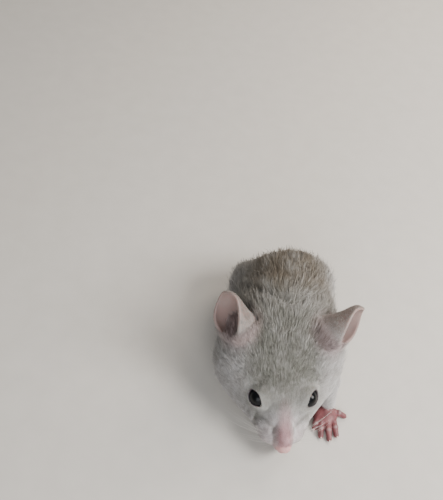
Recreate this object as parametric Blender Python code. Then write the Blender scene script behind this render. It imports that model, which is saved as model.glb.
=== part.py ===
"""Young Syrian hamster, a still life-size model.

It crouches on its belly with its head low, nose towards -Y, its left side at +X.
The solids reach out to the tips of the coat. The body is shaped whole and parted
into head, neck and trunk by thin cuts; ears, legs, feet, eyes, nose and tail are
pieces of their own, each with a gap of GAP to what it meets.
"""
import math

import bmesh
import bpy
import numpy as np
from mathutils import Matrix, Vector

MM = 0.001                      # the sizes below are in millimetres

# ---- driving dimensions -------------------------------------------------------------
GAP = 0.3                       # between pieces that meet
NOSE_Y = -27.3                  # front of the muzzle
RUMP_Y = 28.6                   # back of the rump
CHEEK_HALF = 17.8               # half the width over the cheeks, the widest place
SHOULDER_HALF = 15.4            # half the width over the shoulders
WAIST_HALF = 13.7               # half the width ahead of the haunches
BACK_HEIGHT = 25.8              # top of the hunched back
SPINE_LEANS = ((-5.0, 0.12), (21.0, 0.20))      # y at which the spine leans further to the left,
                                                # and by how much for each mm behind it
SPINE_SOFTNESS = 5.0            # over how many mm such a lean sets in

FLOOR_MIDDLE = (1.48, 2.65, 0.0)   # middle of the outline on the floor: the model's origin

# Outlines of the whole body, as (y, value) at the places where they turn.
TOP_LINE = (                    # from the side: muzzle, stop, brow, crown, nape, back, rump
    (NOSE_Y, 8.4), (-24.0, 9.7), (-20.5, 11.7), (-16.5, 14.8), (-12.0, 18.2), (-6.0, 21.8),
    (0.0, 24.2), (5.0, 25.2), (12.0, BACK_HEIGHT), (RUMP_Y, BACK_HEIGHT))
SIDE_LINE = (                   # half widths from above: muzzle, cheeks, shoulders, flanks
    (NOSE_Y, 1.6), (-25.3, 2.5), (-24.0, 3.5), (-22.8, 4.9), (-21.4, 6.5), (-19.0, 7.8),
    (-16.7, 9.7), (-13.6, 12.6), (-11.0, 14.8), (-7.0, 16.9), (-2.5, CHEEK_HALF), (2.0, 17.3),
    (9.0, SHOULDER_HALF), (18.0, WAIST_HALF), (RUMP_Y, WAIST_HALF))
WIDEST_LINE = (                 # the level at which each section is widest
    (NOSE_Y, 5.2), (-20.0, 5.6), (-14.0, 6.6), (-6.0, 8.8), (2.0, 10.2), (12.0, 10.0),
    (RUMP_Y, 8.6))
KEEL_LINE = (                   # the underside: chin, throat, belly
    (NOSE_Y, 2.4), (-24.0, 1.3), (-20.0, 0.9), (-12.0, 0.5), (-6.0, -0.6), (18.0, -0.6),
    (RUMP_Y, -0.2))
MUZZLE_ROUND = 3.4              # length over which the muzzle rounds off to the nose
RUMP_ROUND = 17.5               # length over which the back rounds off to the rump
NAPE_FOLD = (4.6, 0.7, 1.9)     # y, depth and half width of the fold across the nape
RUMP_POWERS = (2.3, 4.0)        # how bluntly it rounds off, from the side and from above
SECTION_POWERS = (0.97, 0.82)   # below 1 a section is squarer than an ellipse: above and below
BROW_BULGE = (1.2, 3.4)         # height and half width of the swelling that carries each eye
BROW_AIM = (0.75, 0.66)         # it swells this much outwards and upwards

# Head details
EYE_AT = (6.1, -15.9, 11.7)
EYE_RADIUS = 2.3
NOSE_AT = (0.0, -26.7, 5.9)
NOSE_SIZE = (1.8, 1.2, 1.4)

# Cuts between head, neck and trunk: y at the top and y at the floor
HEAD_CUT = (3.4, -5.0)
NECK_CUT = (6.4, 2.0)
CUT_TOP = 26.0
FAR = 60.0                      # well past the body on every side

# Tail, its path measured from the end of the spine on the floor
TAIL_PATH = ((-0.6, -2.5, 4.4), (0.2, 1.0, 3.4), (1.2, 4.5, 1.7))
TAIL_RADII = (1.7, 1.3, 0.8)

PALE_GREY = (0.47, 0.46, 0.45)
PINK_SKIN = (0.62, 0.36, 0.34)
EAR_SKIN = (0.46, 0.37, 0.37)
EYE_DARK = (0.012, 0.014, 0.02)


# ---- helpers ------------------------------------------------------------------------
def line_value(points, y):
    """A smooth line through the points that never swings past them."""
    ys = np.array([point[0] for point in points])
    values = np.array([point[1] for point in points])
    steps = np.diff(ys)
    slopes = np.diff(values) / steps
    tangents = np.zeros(len(ys))
    for place in range(1, len(ys) - 1):
        before, after = slopes[place - 1], slopes[place]
        if before * after > 0.0:
            tangents[place] = 2.0 * before * after / (before + after)
    tangents[0], tangents[-1] = slopes[0], slopes[-1]
    y = np.clip(y, ys[0], ys[-1])
    cell = np.clip(np.searchsorted(ys, y, side="right") - 1, 0, len(steps) - 1)
    step = steps[cell]
    t = (y - ys[cell]) / step
    return ((2 * t**3 - 3 * t**2 + 1) * values[cell] + (t**3 - 2 * t**2 + t) * step * tangents[cell]
            + (3 * t**2 - 2 * t**3) * values[cell + 1] + (t**3 - t**2) * step * tangents[cell + 1])


def spine_x(y):
    """The middle of the body: straight in the head, leaning to the left behind it."""
    return sum(lean * 0.5 * (y - start + math.hypot(y - start, SPINE_SOFTNESS))
               for start, lean in SPINE_LEANS)


def power(wave, exponent):
    return np.sign(wave) * np.abs(wave) ** exponent


def material(name, colour, roughness):
    made = bpy.data.materials.new(name)
    made.use_nodes = True
    shader = made.node_tree.nodes["Principled BSDF"]
    shader.inputs["Base Color"].default_value = (*colour, 1.0)
    shader.inputs["Roughness"].default_value = roughness
    shader.inputs["Metallic"].default_value = 0.0
    return made


def add_object(name, verts, faces, finish=None):
    """A named object from millimetre points, smooth shaded, its faces pointing out."""
    mesh = bpy.data.meshes.new(name)
    shape = bmesh.new()
    made = [shape.verts.new((Vector(vert) - Vector(FLOOR_MIDDLE)) * MM) for vert in verts]
    for face in faces:
        shape.faces.new([made[index] for index in face])
    bmesh.ops.recalc_face_normals(shape, faces=shape.faces)
    shape.to_mesh(mesh)
    shape.free()
    mesh.shade_smooth()
    thing = bpy.data.objects.new(name, mesh)
    bpy.context.collection.objects.link(thing)
    if finish:
        mesh.materials.append(finish)
    return thing


def ring_shape(rings, first, last):
    """Points and faces of a closed skin over rings, with a point to close each end."""
    count = len(rings[0])
    verts = [tuple(point) for ring in rings for point in ring]
    faces = []
    for row in range(len(rings) - 1):
        for column in range(count):
            beside = (column + 1) % count
            faces.append((row * count + column, row * count + beside,
                          (row + 1) * count + beside, (row + 1) * count + column))
    for tip, row in ((first, 0), (last, len(rings) - 1)):
        verts.append(tuple(tip))
        for column in range(count):
            faces.append((row * count + column, row * count + (column + 1) % count, len(verts) - 1))
    return verts, faces


def mirror_side(name):
    return 1.0 if name.endswith("left") else -1.0


def frame_of(direction):
    """Two unit vectors square to a direction."""
    direction = Vector(direction).normalized()
    side = direction.cross(Vector((0.0, 0.0, 1.0)))
    if side.length < 0.1:
        side = direction.cross(Vector((0.0, 1.0, 0.0)))
    side.normalize()
    return side, side.cross(direction)


def limb_shape(path, radii, rings=8, sides=12):
    """A round-ended tapered tube through the path's points."""
    path = [Vector(point) for point in path]
    rows = []
    length = [0.0]
    for near, far in zip(path, path[1:]):
        length.append(length[-1] + (far - near).length)
    ts = np.array(length) / length[-1]
    spots = np.array([tuple(point) for point in path])
    ends = (0.0, 1.0)
    for row in range(rings):
        wave = 0.5 - 0.5 * math.cos(math.pi * (row + 0.5) / rings)
        place = Vector([np.interp(wave, ts, spots[:, axis]) for axis in range(3)])
        ahead = Vector([np.interp(min(wave + 0.05, 1.0), ts, spots[:, axis]) for axis in range(3)])
        behind = Vector([np.interp(max(wave - 0.05, 0.0), ts, spots[:, axis]) for axis in range(3)])
        side, up = frame_of(ahead - behind)
        radius = float(np.interp(wave, np.linspace(0.0, 1.0, len(radii)), radii))
        for end in ends:
            reach = abs(wave - end) * length[-1]
            if reach < radius:
                radius = min(radius, math.sqrt(max(radius**2 - (radius - reach) ** 2, 0.0001)))
        rows.append([place + side * radius * math.cos(turn) + up * radius * math.sin(turn)
                     for turn in np.arange(sides) * 2.0 * math.pi / sides])
    return ring_shape(rows, path[0], path[-1])


def ball_shape(centre, radii, sides=14, rings=9, turn=None):
    """An egg about a centre, its poles along Z, turned by a matrix."""
    turn = turn or Matrix.Identity(3)
    rows = []
    for row in range(1, rings):
        lift = math.pi * row / rings
        rows.append([Vector(centre) + turn @ Vector((
            radii[0] * math.sin(lift) * math.cos(round_),
            radii[1] * math.sin(lift) * math.sin(round_),
            radii[2] * math.cos(lift))) for round_ in np.arange(sides) * 2.0 * math.pi / sides])
    first = Vector(centre) + turn @ Vector((0.0, 0.0, radii[2]))
    last = Vector(centre) - turn @ Vector((0.0, 0.0, radii[2]))
    return ring_shape(rows, first, last)


def joined(shapes):
    """Several shapes as one list of points and faces."""
    verts, faces = [], []
    for some_verts, some_faces in shapes:
        faces += [tuple(index + len(verts) for index in face) for face in some_faces]
        verts += some_verts
    return verts, faces


def tool(thing):
    """Marks an object as a cutter, which isn't part of the model."""
    thing.hide_render = True
    thing.display_type = "WIRE"
    return thing


def cut(thing, cutter, operation="DIFFERENCE"):
    modifier = thing.modifiers.new(operation.title() + " " + cutter.name, "BOOLEAN")
    modifier.operation = operation
    modifier.object = cutter
    modifier.solver = "EXACT"


def slab(name, front, back, heights=(-10.0, 32.0)):
    """A block between two slanted planes, each given by its y at CUT_TOP and at the floor."""

    def plane_y(plane, z):
        return plane[1] + (plane[0] - plane[1]) * z / CUT_TOP

    verts = [(x, plane_y(plane, z), z) for plane in (front, back) for z in heights
             for x in (-FAR, FAR)]
    faces = [(0, 1, 3, 2), (4, 6, 7, 5), (0, 2, 6, 4), (1, 5, 7, 3), (0, 4, 5, 1), (2, 3, 7, 6)]
    return tool(add_object(name, verts, faces))


# ---- the whole body -----------------------------------------------------------------
BODY_RINGS = 44
BODY_SIDES = 32


def body_shape(grow=0.0):
    """Sections across the body, from the muzzle to the rump; grow swells them evenly."""
    wave = 0.5 - 0.5 * np.cos(np.pi * (np.arange(BODY_RINGS) + 0.6) / (BODY_RINGS + 0.2))
    ys = NOSE_Y + (RUMP_Y - NOSE_Y) * wave
    above, below = SECTION_POWERS
    rings = []
    for y in ys:
        muzzle = max(0.0, NOSE_Y + MUZZLE_ROUND - y) / MUZZLE_ROUND
        rump = max(0.0, y - (RUMP_Y - RUMP_ROUND)) / RUMP_ROUND
        fullness, width_fullness = (math.sqrt(max(1.0 - muzzle**2, 0.0) * max(1.0 - rump**blunt, 0.0))
                                    for blunt in RUMP_POWERS)
        widest = float(line_value(WIDEST_LINE, y))
        half = float(line_value(SIDE_LINE, y)) * width_fullness + grow
        fold_y, fold_depth, fold_half = NAPE_FOLD
        fold = fold_depth * math.exp(-((y - fold_y) / fold_half) ** 2)
        rise = (float(line_value(TOP_LINE, y)) - fold - widest) * fullness + grow
        drop = (widest - float(line_value(KEEL_LINE, y))) * math.sqrt(fullness) + grow
        ring = []
        for turn in np.arange(BODY_SIDES) * 2.0 * np.pi / BODY_SIDES:
            across, up = math.cos(turn), math.sin(turn)
            if up >= 0.0:
                point = (half * power(across, above), y, widest + rise * power(up, above))
            else:
                point = (half * power(across, below), y, max(widest + drop * power(up, below), -grow))
            for side in (-1.0, 1.0):
                eye = Vector((side * EYE_AT[0], EYE_AT[1], EYE_AT[2]))
                away = (Vector(point) - eye).length / BROW_BULGE[1]
                swell = BROW_BULGE[0] * math.exp(-away**2)
                point = (point[0] + side * BROW_AIM[0] * swell, point[1], point[2] + BROW_AIM[1] * swell)
            ring.append((point[0] + spine_x(y), point[1], point[2]))
        rings.append(ring)
    tips = []
    for y, ring in ((NOSE_Y - grow, rings[0]), (RUMP_Y + grow, rings[-1])):
        middle = np.mean(np.array(ring), axis=0)
        tips.append((middle[0], y, middle[2]))
    return ring_shape(rings, tips[0], tips[1])


# ---- ears ---------------------------------------------------------------------------
EAR_ROWS = 10
EAR_COLUMNS = 11


def ear_shape(base, tip, opening):
    """A cupped leaf from base to tip, a tube at its foot, open towards `opening`.

    Its wall is thin at the rim and thick and furred at the root.
    """
    base, tip = Vector(base), Vector(tip)
    axis = (tip - base).normalized()
    length = (tip - base).length
    out = Vector(opening)
    out = (out - axis * out.dot(axis)).normalized()
    side = axis.cross(out)
    layers = []
    for depth in (0.0, 1.0):
        rows = []
        for row in range(EAR_ROWS):
            s = math.sin(0.5 * math.pi * row / (EAR_ROWS - 1) * 0.985)
            leaf = math.sqrt(max(1.0 - (max(0.0, s - EAR_WIDEST) / (1.01 - EAR_WIDEST)) ** 2.2, 0.0))
            swell = EAR_FOOT + (1.0 - EAR_FOOT) * math.sin(math.pi * min(s, 0.5))
            half = EAR_HALF_WIDTH * leaf * swell
            curl = math.radians(float(np.interp(s, (0.0, 1.0), EAR_CURL)))
            radius = half / math.sin(min(curl, math.pi / 2))
            thick = EAR_WALL * (1.0 + EAR_ROOT_FUR * (1.0 - s) ** 1.6) * depth
            bulge = EAR_BULGE * math.sin(math.pi * s)
            row_points = []
            for column in range(EAR_COLUMNS):
                phi = curl * (2.0 * column / (EAR_COLUMNS - 1) - 1.0)
                reach = radius + thick
                row_points.append(base + axis * (length * s) + out * bulge
                                  + side * reach * math.sin(phi)
                                  - out * (reach * math.cos(phi) - radius * math.cos(curl) * 0.5))
            rows.append(row_points)
        layers.append(rows)
    verts = [tuple(point) for rows in layers for row in rows for point in row]

    def at(layer, row, column):
        return (layer * EAR_ROWS + row) * EAR_COLUMNS + column

    faces = []
    for row in range(EAR_ROWS - 1):
        for column in range(EAR_COLUMNS - 1):
            for layer in (0, 1):
                faces.append((at(layer, row, column), at(layer, row, column + 1),
                              at(layer, row + 1, column + 1), at(layer, row + 1, column)))
        for column in (0, EAR_COLUMNS - 1):
            faces.append((at(0, row, column), at(0, row + 1, column),
                          at(1, row + 1, column), at(1, row, column)))
    for row in (0, EAR_ROWS - 1):
        for column in range(EAR_COLUMNS - 1):
            faces.append((at(0, row, column), at(0, row, column + 1),
                          at(1, row, column + 1), at(1, row, column)))
    return verts, faces


EARS = {                         # base, tip, direction of the opening
    "ear_right": ((-10.6, -2.6, 16.6), (-15.3, 4.2, 26.8), (-0.76, -0.64, 0.10)),
    "ear_left": ((11.0, -3.4, 16.8), (20.2, 1.0, 25.2), (0.55, -0.83, -0.10)),
}
EAR_HALF_WIDTH = 4.6
EAR_WIDEST = 0.45                # part of the way up, above which the leaf rounds off
EAR_FOOT = 0.8                   # the foot's width as a part of the widest place's
EAR_CURL = (157.0, 45.0)         # degrees that each edge curls round, at the foot and the tip
EAR_BULGE = 1.5                  # how far the middle of the leaf swells forwards
EAR_WALL = 0.7
EAR_ROOT_FUR = 1.2               # how much thicker the furred root is than the rim


# ---- legs and feet ------------------------------------------------------------------
FORELEGS = {                     # elbow, middle, wrist
    "foreleg_right": ((-10.5, 1.6, 6.5), (-9.1, -1.0, 4.6), (-7.4, -3.4, 2.6)),
    "foreleg_left": ((13.0, -3.0, 6.5), (13.9, -8.0, 4.6), (13.4, -13.0, 2.6)),
}
FORELEG_RADII = (3.6, 3.0, 2.3)
HAUNCH_Y = 19.0
HAUNCH_OUT = 9.4                 # from the spine to the middle of the thigh
HAUNCH_HEIGHT = 8.1
HAUNCH_RADII = (5.3, 9.0, 8.6)

# Feet: middle of the palm or sole on the ground, its heading in degrees from -Y towards +X,
# and the outer toe, as root outwards and ahead of that middle, turn outwards and length.
FEET = {
    "forefoot_right": ((-7.2, -5.0), -4.0, (2.3, 1.2, 30.0, 2.7)),
    "forefoot_left": ((12.7, -15.6), 2.0, (2.5, -1.0, 72.0, 2.9)),
    "hindfoot_right": ((-9.6, 15.4), -8.0, (1.3, 3.4, 32.0, 2.7)),
    "hindfoot_left": ((15.0, 16.0), 10.0, (1.3, 3.4, 32.0, 2.7)),
}
FORE_TOES = ((-2.4, 1.3, -24.0, 1.8), (-1.6, 2.1, -5.0, 3.1), (0.2, 2.4, 0.0, 3.7), (1.9, 1.9, 6.0, 3.2))
HIND_TOES = ((-1.5, 3.9, -30.0, 2.4), (-0.8, 4.5, -12.0, 3.3), (0.0, 4.7, 0.0, 3.5), (0.8, 4.5, 12.0, 3.3))
FORE_PALM = (3.4, 2.9, 1.7)
HIND_SOLE = (2.3, 5.2, 1.6)
FORE_TOE_RADIUS = 0.95
HIND_TOE_RADIUS = 0.8
CLAW_LENGTH = 1.0
CLAW_RADII = (0.42, 0.24)
PALM_LEVEL = 1.15                # height of the middle of a palm
FOOT_VOXEL = 0.3                 # grain at which palm and toes grow into one skin
FOOT_KEPT = 0.085                # part of that skin's faces kept
FORE_ROOM = (5.2, 6.4, 2.9)      # half sizes of the room a foot has under the body
HIND_ROOM = (4.2, 7.4, 2.9)
ROOM_AHEAD = 1.8                 # the room's middle lies this far ahead of the palm's


def foot_axes(name):
    """The foot's own axes: outwards, back and up."""
    swing = Matrix.Rotation(math.radians(FEET[name][1]), 3, "Z")
    return swing @ Matrix.Diagonal((mirror_side(name), 1.0, 1.0))


def palm_of(name):
    return FORE_PALM if name.startswith("fore") else HIND_SOLE


def palm_middle(name):
    return Vector((*FEET[name][0], PALM_LEVEL))


def palm_shape(name, grow=0.0):
    turn = Matrix.Rotation(math.radians(FEET[name][1]), 3, "Z")
    return ball_shape(palm_middle(name), [size + grow for size in palm_of(name)], 12, 7, turn)


def foot_room(name):
    """The arched room under the body that keeps clear of a foot."""
    turn = Matrix.Rotation(math.radians(FEET[name][1]), 3, "Z")
    middle = palm_middle(name) - turn @ Vector((0.0, ROOM_AHEAD, 0.0))
    return ball_shape(middle, FORE_ROOM if name.startswith("fore") else HIND_ROOM, 14, 8, turn)


def foot_shape(name):
    """A palm on the ground with a fan of toes, each ending in a small claw."""
    axes = foot_axes(name)
    fore = name.startswith("fore")
    radius = FORE_TOE_RADIUS if fore else HIND_TOE_RADIUS
    shapes = [palm_shape(name)]
    for out, ahead, degrees, length in (*(FORE_TOES if fore else HIND_TOES), FEET[name][2]):
        aim = Vector((math.sin(math.radians(degrees)), -math.cos(math.radians(degrees)), 0.0))
        root = Vector((out, -ahead, -0.1))

        def at(reach, lift):
            return palm_middle(name) + axes @ (root + aim * reach + Vector((0.0, 0.0, lift)))

        shapes.append(limb_shape((at(-0.5, 0.0), at(length * 0.45, 0.25), at(length, -0.5)),
                                 (radius, radius, radius * 0.75), 5, 7))
        shapes.append(limb_shape((at(length, -0.6), at(length + CLAW_LENGTH, -0.9)), CLAW_RADII, 4, 6))
    return joined(shapes)


# ---- the model ----------------------------------------------------------------------
def build():
    for old in list(bpy.data.objects):
        bpy.data.objects.remove(old, do_unlink=True)
    coat = material("pale_grey_coat", PALE_GREY, 0.9)
    skin = material("pink_skin", PINK_SKIN, 0.6)
    ear_skin = material("ear_skin", EAR_SKIN, 0.7)
    eye_dark = material("dark_eye", EYE_DARK, 0.08)

    # cutters
    floor = slab("floor_block", (-FAR, -FAR), (FAR, FAR), (-FAR, 0.0))
    half_gap = GAP / 2
    head_block = slab("head_block", (-FAR, -FAR), (HEAD_CUT[0] - half_gap, HEAD_CUT[1] - half_gap))
    neck_block = slab("neck_block", (HEAD_CUT[0] + half_gap, HEAD_CUT[1] + half_gap),
                      (NECK_CUT[0] - half_gap, NECK_CUT[1] - half_gap))
    trunk_block = slab("trunk_block", (NECK_CUT[0] + half_gap, NECK_CUT[1] + half_gap), (FAR, FAR))
    body_around = tool(add_object("body_around", *body_shape(GAP)))

    # head, neck and trunk
    body = {name: add_object(name, *body_shape(), coat) for name in ("head", "neck", "trunk")}
    for name, block in (("head", head_block), ("neck", neck_block), ("trunk", trunk_block)):
        cut(body[name], block, "INTERSECT")

    # nose and eyes, each in a hollow that clears it
    add_object("nose", *ball_shape(NOSE_AT, NOSE_SIZE), skin)
    cut(body["head"], tool(add_object("nose_hollow", *ball_shape(
        NOSE_AT, [size + GAP for size in NOSE_SIZE]))))
    for name in ("eye_right", "eye_left"):
        centre = (EYE_AT[0] * mirror_side(name), EYE_AT[1], EYE_AT[2])
        add_object(name, *ball_shape(centre, [EYE_RADIUS] * 3), eye_dark)
        cut(body["head"], tool(add_object(name + "_hollow", *ball_shape(
            centre, [EYE_RADIUS + GAP] * 3))))

    # ears stand on the head
    for name, (base, tip, opening) in EARS.items():
        ear = add_object(name, *ear_shape(base, tip, opening), ear_skin)
        cut(ear, body_around)

    # legs pass into the body through hollows that clear them
    for name, path in FORELEGS.items():
        leg = add_object(name, *limb_shape(path, FORELEG_RADII), coat)
        hollow = tool(add_object(name + "_hollow", *limb_shape(
            path, [radius + GAP for radius in FORELEG_RADII])))
        for part in body.values():
            cut(part, hollow)
    for name in ("hindleg_right", "hindleg_left"):
        centre = (spine_x(HAUNCH_Y) + HAUNCH_OUT * mirror_side(name), HAUNCH_Y, HAUNCH_HEIGHT)
        leg = add_object(name, *ball_shape(centre, HAUNCH_RADII, 18, 12), coat)
        cut(leg, floor)
        cut(body["trunk"], tool(add_object(name + "_hollow", *ball_shape(
            centre, [radius + GAP for radius in HAUNCH_RADII], 18, 12))))
    for name in FEET:
        foot = add_object(name, *foot_shape(name), skin)
        smooth_foot(foot)
        cut(foot, floor)
        room = tool(add_object(name + "_room", *foot_room(name)))
        for part in body.values():
            cut(part, room)
        leg = bpy.data.objects[name.replace("foot", "leg")]
        if name.startswith("fore"):
            cut(leg, tool(add_object(name + "_hollow", *palm_shape(name, GAP))))
        else:
            cut(leg, room)

    # tail
    root = Vector((spine_x(RUMP_Y), RUMP_Y, 0.0))
    tail_path = [root + Vector(point) for point in TAIL_PATH]
    add_object("tail", *limb_shape(tail_path, TAIL_RADII), skin)
    cut(body["trunk"], tool(add_object("tail_hollow", *limb_shape(
        tail_path, [radius + GAP for radius in TAIL_RADII]))))


def smooth_foot(foot):
    """One skin over palm and toes, thinned to few faces."""
    remesh = foot.modifiers.new("One skin", "REMESH")
    remesh.mode = "VOXEL"
    remesh.voxel_size = FOOT_VOXEL * MM
    thin = foot.modifiers.new("Thin", "DECIMATE")
    thin.ratio = FOOT_KEPT


build()
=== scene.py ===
"""Young Syrian hamster, a still life-size model crouching on its belly.

One skin runs over the whole animal and locks of hair are set into it, each a thin closed
mesh that lies with the coat. Eyes, claws and whiskers are pieces of their own.
Lengths are in millimetres from a zero on the floor under the head, the nose towards -Y.
"""
import math

import bmesh
import bpy
import numpy as np
from mathutils import Matrix, Vector
from mathutils.bvhtree import BVHTree
from mathutils.kdtree import KDTree
from numpy.linalg import norm


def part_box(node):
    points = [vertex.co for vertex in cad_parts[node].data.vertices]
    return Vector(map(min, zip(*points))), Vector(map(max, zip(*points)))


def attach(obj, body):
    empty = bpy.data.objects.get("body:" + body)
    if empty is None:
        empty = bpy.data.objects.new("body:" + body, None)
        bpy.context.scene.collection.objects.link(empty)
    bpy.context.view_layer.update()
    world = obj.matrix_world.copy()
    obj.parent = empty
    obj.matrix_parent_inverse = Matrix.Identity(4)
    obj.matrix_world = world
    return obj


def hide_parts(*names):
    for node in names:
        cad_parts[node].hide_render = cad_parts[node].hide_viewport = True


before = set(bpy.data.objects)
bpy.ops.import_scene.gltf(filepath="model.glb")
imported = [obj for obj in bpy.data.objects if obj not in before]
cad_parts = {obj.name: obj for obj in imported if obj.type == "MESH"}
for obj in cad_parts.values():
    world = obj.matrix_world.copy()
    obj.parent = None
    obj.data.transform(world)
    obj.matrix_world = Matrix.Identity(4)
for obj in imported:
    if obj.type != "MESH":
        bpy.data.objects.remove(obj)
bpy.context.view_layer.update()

# ---- Body skin ----
# The hide of head, neck, trunk and thighs in one piece, thin and soft over muscle and fat.
# A sculptor would model it in clay at the depth of the hair roots: it lies inside the
# outline of the coat by the coat's own depth.
MM = 0.001
EYE_LEVEL = 11.7  # height of the eyes' middles
EYE_BACK = -15.9  # from the zero to the eyes, along Y


def node_middle(name):
    """The middle of a solid's box, in millimetres."""
    low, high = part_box(name)
    return (np.array(low) + np.array(high)) / 2.0 / MM


ZERO = (node_middle("eye_right") + node_middle("eye_left")) / 2.0 - (0.0, EYE_BACK, EYE_LEVEL)


def place_of(name):
    """The middle of a solid's box, from the zero under the head."""
    return node_middle(name) - ZERO


NOSE_Y = -27.3
RUMP_Y = 28.6
TOP_LINE = (  # from the side: muzzle, stop, brow, crown, nape, back
    (NOSE_Y, 8.4), (-24.0, 9.7), (-20.5, 11.7), (-16.5, 14.8), (-12.0, 18.2), (-6.0, 21.8),
    (0.0, 24.2), (5.0, 25.2), (12.0, 25.8), (RUMP_Y, 25.8))
SIDE_LINE = (  # half widths from above: muzzle, cheeks, shoulders, flanks
    (NOSE_Y, 1.6), (-25.3, 2.5), (-24.0, 3.5), (-22.8, 4.9), (-21.4, 6.5), (-19.0, 7.8),
    (-16.7, 9.7), (-13.6, 12.6), (-11.0, 14.8), (-7.0, 16.9), (-2.5, 17.8), (2.0, 17.3),
    (9.0, 15.4), (18.0, 13.7), (RUMP_Y, 13.7))
WIDEST_LINE = (  # the level at which each section is widest
    (NOSE_Y, 5.2), (-20.0, 5.6), (-14.0, 6.6), (-6.0, 8.8), (2.0, 10.2), (12.0, 10.0),
    (RUMP_Y, 8.6))
KEEL_LINE = (  # the underside: chin, throat, belly
    (NOSE_Y, 2.4), (-24.0, 1.3), (-20.0, 0.9), (-12.0, 0.5), (-6.0, -0.6), (18.0, -0.6),
    (RUMP_Y, -0.2))
DEPTH_LINE = (  # how deep the roots lie under the tips of the coat
    (NOSE_Y, 0.25), (-22.0, 0.35), (-16.0, 0.55), (-10.0, 1.0), (0.0, 1.4), (RUMP_Y, 1.6))
MUZZLE_ROUND = 3.4  # how far from each end the body starts to round off
RUMP_ROUND = 17.5
RUMP_POWERS = (2.3, 4.0)  # how squarely the rump rounds off, from the side and above
TOP_POWER = 2.06  # 2 is a round section, more is squarer
BELLY_POWER = 2.44
SPINE_LEANS = ((-5.0, 0.12), (21.0, 0.20))  # from each y on, how far it leans for each mm
SPINE_SOFTNESS = 5.0
FOLD_AT = (2.0, 1.9)  # x and y of the point of the V-shaped fold behind the nape
FOLD_SLANT = 0.80  # how far each arm runs back for each mm out
FOLD_DEPTH = 0.9
FOLD_HALF = 1.5  # half width of the fold
FOLD_FADE = 0.8  # how much shallower the ends of its arms are,
FOLD_ARMS = (4.0, 10.0)  # over these places out from its point
FOLD_LEVELS = (12.0, 18.0)  # heights over which it sets in


def line_value(points, y):
    """A smooth line through the points that never swings past them."""
    ys, values = np.array(points).T
    steps = np.diff(ys)
    slopes = np.diff(values) / steps
    tangents = np.concatenate(([slopes[0]], np.zeros(len(steps) - 1), [slopes[-1]]))
    for place in range(1, len(steps)):
        before, after = slopes[place - 1], slopes[place]
        if before * after > 0.0:
            tangents[place] = 2.0 * before * after / (before + after)
    y = np.clip(y, ys[0], ys[-1])
    cell = np.clip(np.searchsorted(ys, y, side="right") - 1, 0, len(steps) - 1)
    step = steps[cell]
    t = (y - ys[cell]) / step
    return ((2 * t**3 - 3 * t**2 + 1) * values[cell] + (t**3 - 2 * t**2 + t) * step * tangents[cell]
            + (3 * t**2 - 2 * t**3) * values[cell + 1] + (t**3 - t**2) * step * tangents[cell + 1])


def spine_x(y):
    """How far the spine lies to the animal's left."""
    return sum(lean * 0.5 * (y - start + np.hypot(y - start, SPINE_SOFTNESS))
               for start, lean in SPINE_LEANS)


SECTION_Y = np.linspace(NOSE_Y + 0.01, RUMP_Y - 0.01, 1200)


def body_sections():
    """For each SECTION_Y: spine, level, half width, rise, drop and coat depth."""
    y = SECTION_Y
    muzzle = np.clip((NOSE_Y + MUZZLE_ROUND - y) / MUZZLE_ROUND, 0.0, 1.0)
    rump = np.clip((y - RUMP_Y + RUMP_ROUND) / RUMP_ROUND, 0.0, 1.0)
    tall, wide = (np.sqrt(1.0 - muzzle**2) * np.sqrt(1.0 - rump**power) for power in RUMP_POWERS)
    widest = line_value(WIDEST_LINE, y)
    rise = (line_value(TOP_LINE, y) - widest) * tall
    drop = (widest - line_value(KEEL_LINE, y)) * np.sqrt(tall)
    return spine_x(y), widest, line_value(SIDE_LINE, y) * wide, rise, drop, line_value(DEPTH_LINE, y)


SECTIONS = body_sections()


def sections_at(y):
    """Spine, level, half width, rise, drop and coat depth at each y."""
    return [np.interp(y, SECTION_Y, line) for line in SECTIONS]


def eased(value, start, end):
    """Goes smoothly from 0 at start to 1 at end, whichever is higher."""
    t = np.clip((value - start) / (end - start), 0.0, 1.0)
    return t * t * (3.0 - 2.0 * t)


def fold_depth(x, y, z):
    """Depth of the fold behind the nape at each point."""
    off = np.abs(x - FOLD_AT[0])
    away = (y - FOLD_AT[1] - FOLD_SLANT * np.hypot(off, 1.0)) / FOLD_HALF
    share = (1.0 - FOLD_FADE * eased(off, *FOLD_ARMS)) * eased(z, *FOLD_LEVELS)
    return FOLD_DEPTH * np.exp(-away**2) * share


def section_gap(x, y, z):
    """How far a point lies outside the coat's outline, within the section at y."""
    spine, widest, half, rise, drop, _ = sections_at(y)
    across = np.abs(x - spine)
    up = z - widest
    reach = np.hypot(across, up) + 1e-6
    tall = np.where(up > 0.0, rise, drop) + 1e-3
    power = np.where(up > 0.0, TOP_POWER, BELLY_POWER)
    share = ((across / (half + 1e-3)) ** power + (np.abs(up) / tall) ** power) ** (1.0 / power)
    return reach - reach / np.maximum(share, 1e-6)


SLOPE_STEP = 0.05
STEEPEST = 8.0  # beyond this the ends of the body count as flat


def body_gap(P):
    """Signed distance from the skin of head, neck and trunk, negative inside."""
    x, y, z = P.T
    inner_y = np.clip(y, SECTION_Y[0], SECTION_Y[-1])
    ahead, gap, behind = (section_gap(x, inner_y + step, z) for step in (SLOPE_STEP, 0.0, -SLOPE_STEP))
    slope = np.clip((ahead - behind) / (2.0 * SLOPE_STEP), -STEEPEST, STEEPEST)
    gap = gap / np.sqrt(1.0 + slope**2)
    beyond = np.abs(y - inner_y)
    gap = np.where(beyond > 0.0, np.hypot(np.maximum(gap, 0.0), beyond), gap)
    return gap + np.interp(y, SECTION_Y, SECTIONS[5]) + fold_depth(x, y, z)


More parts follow.
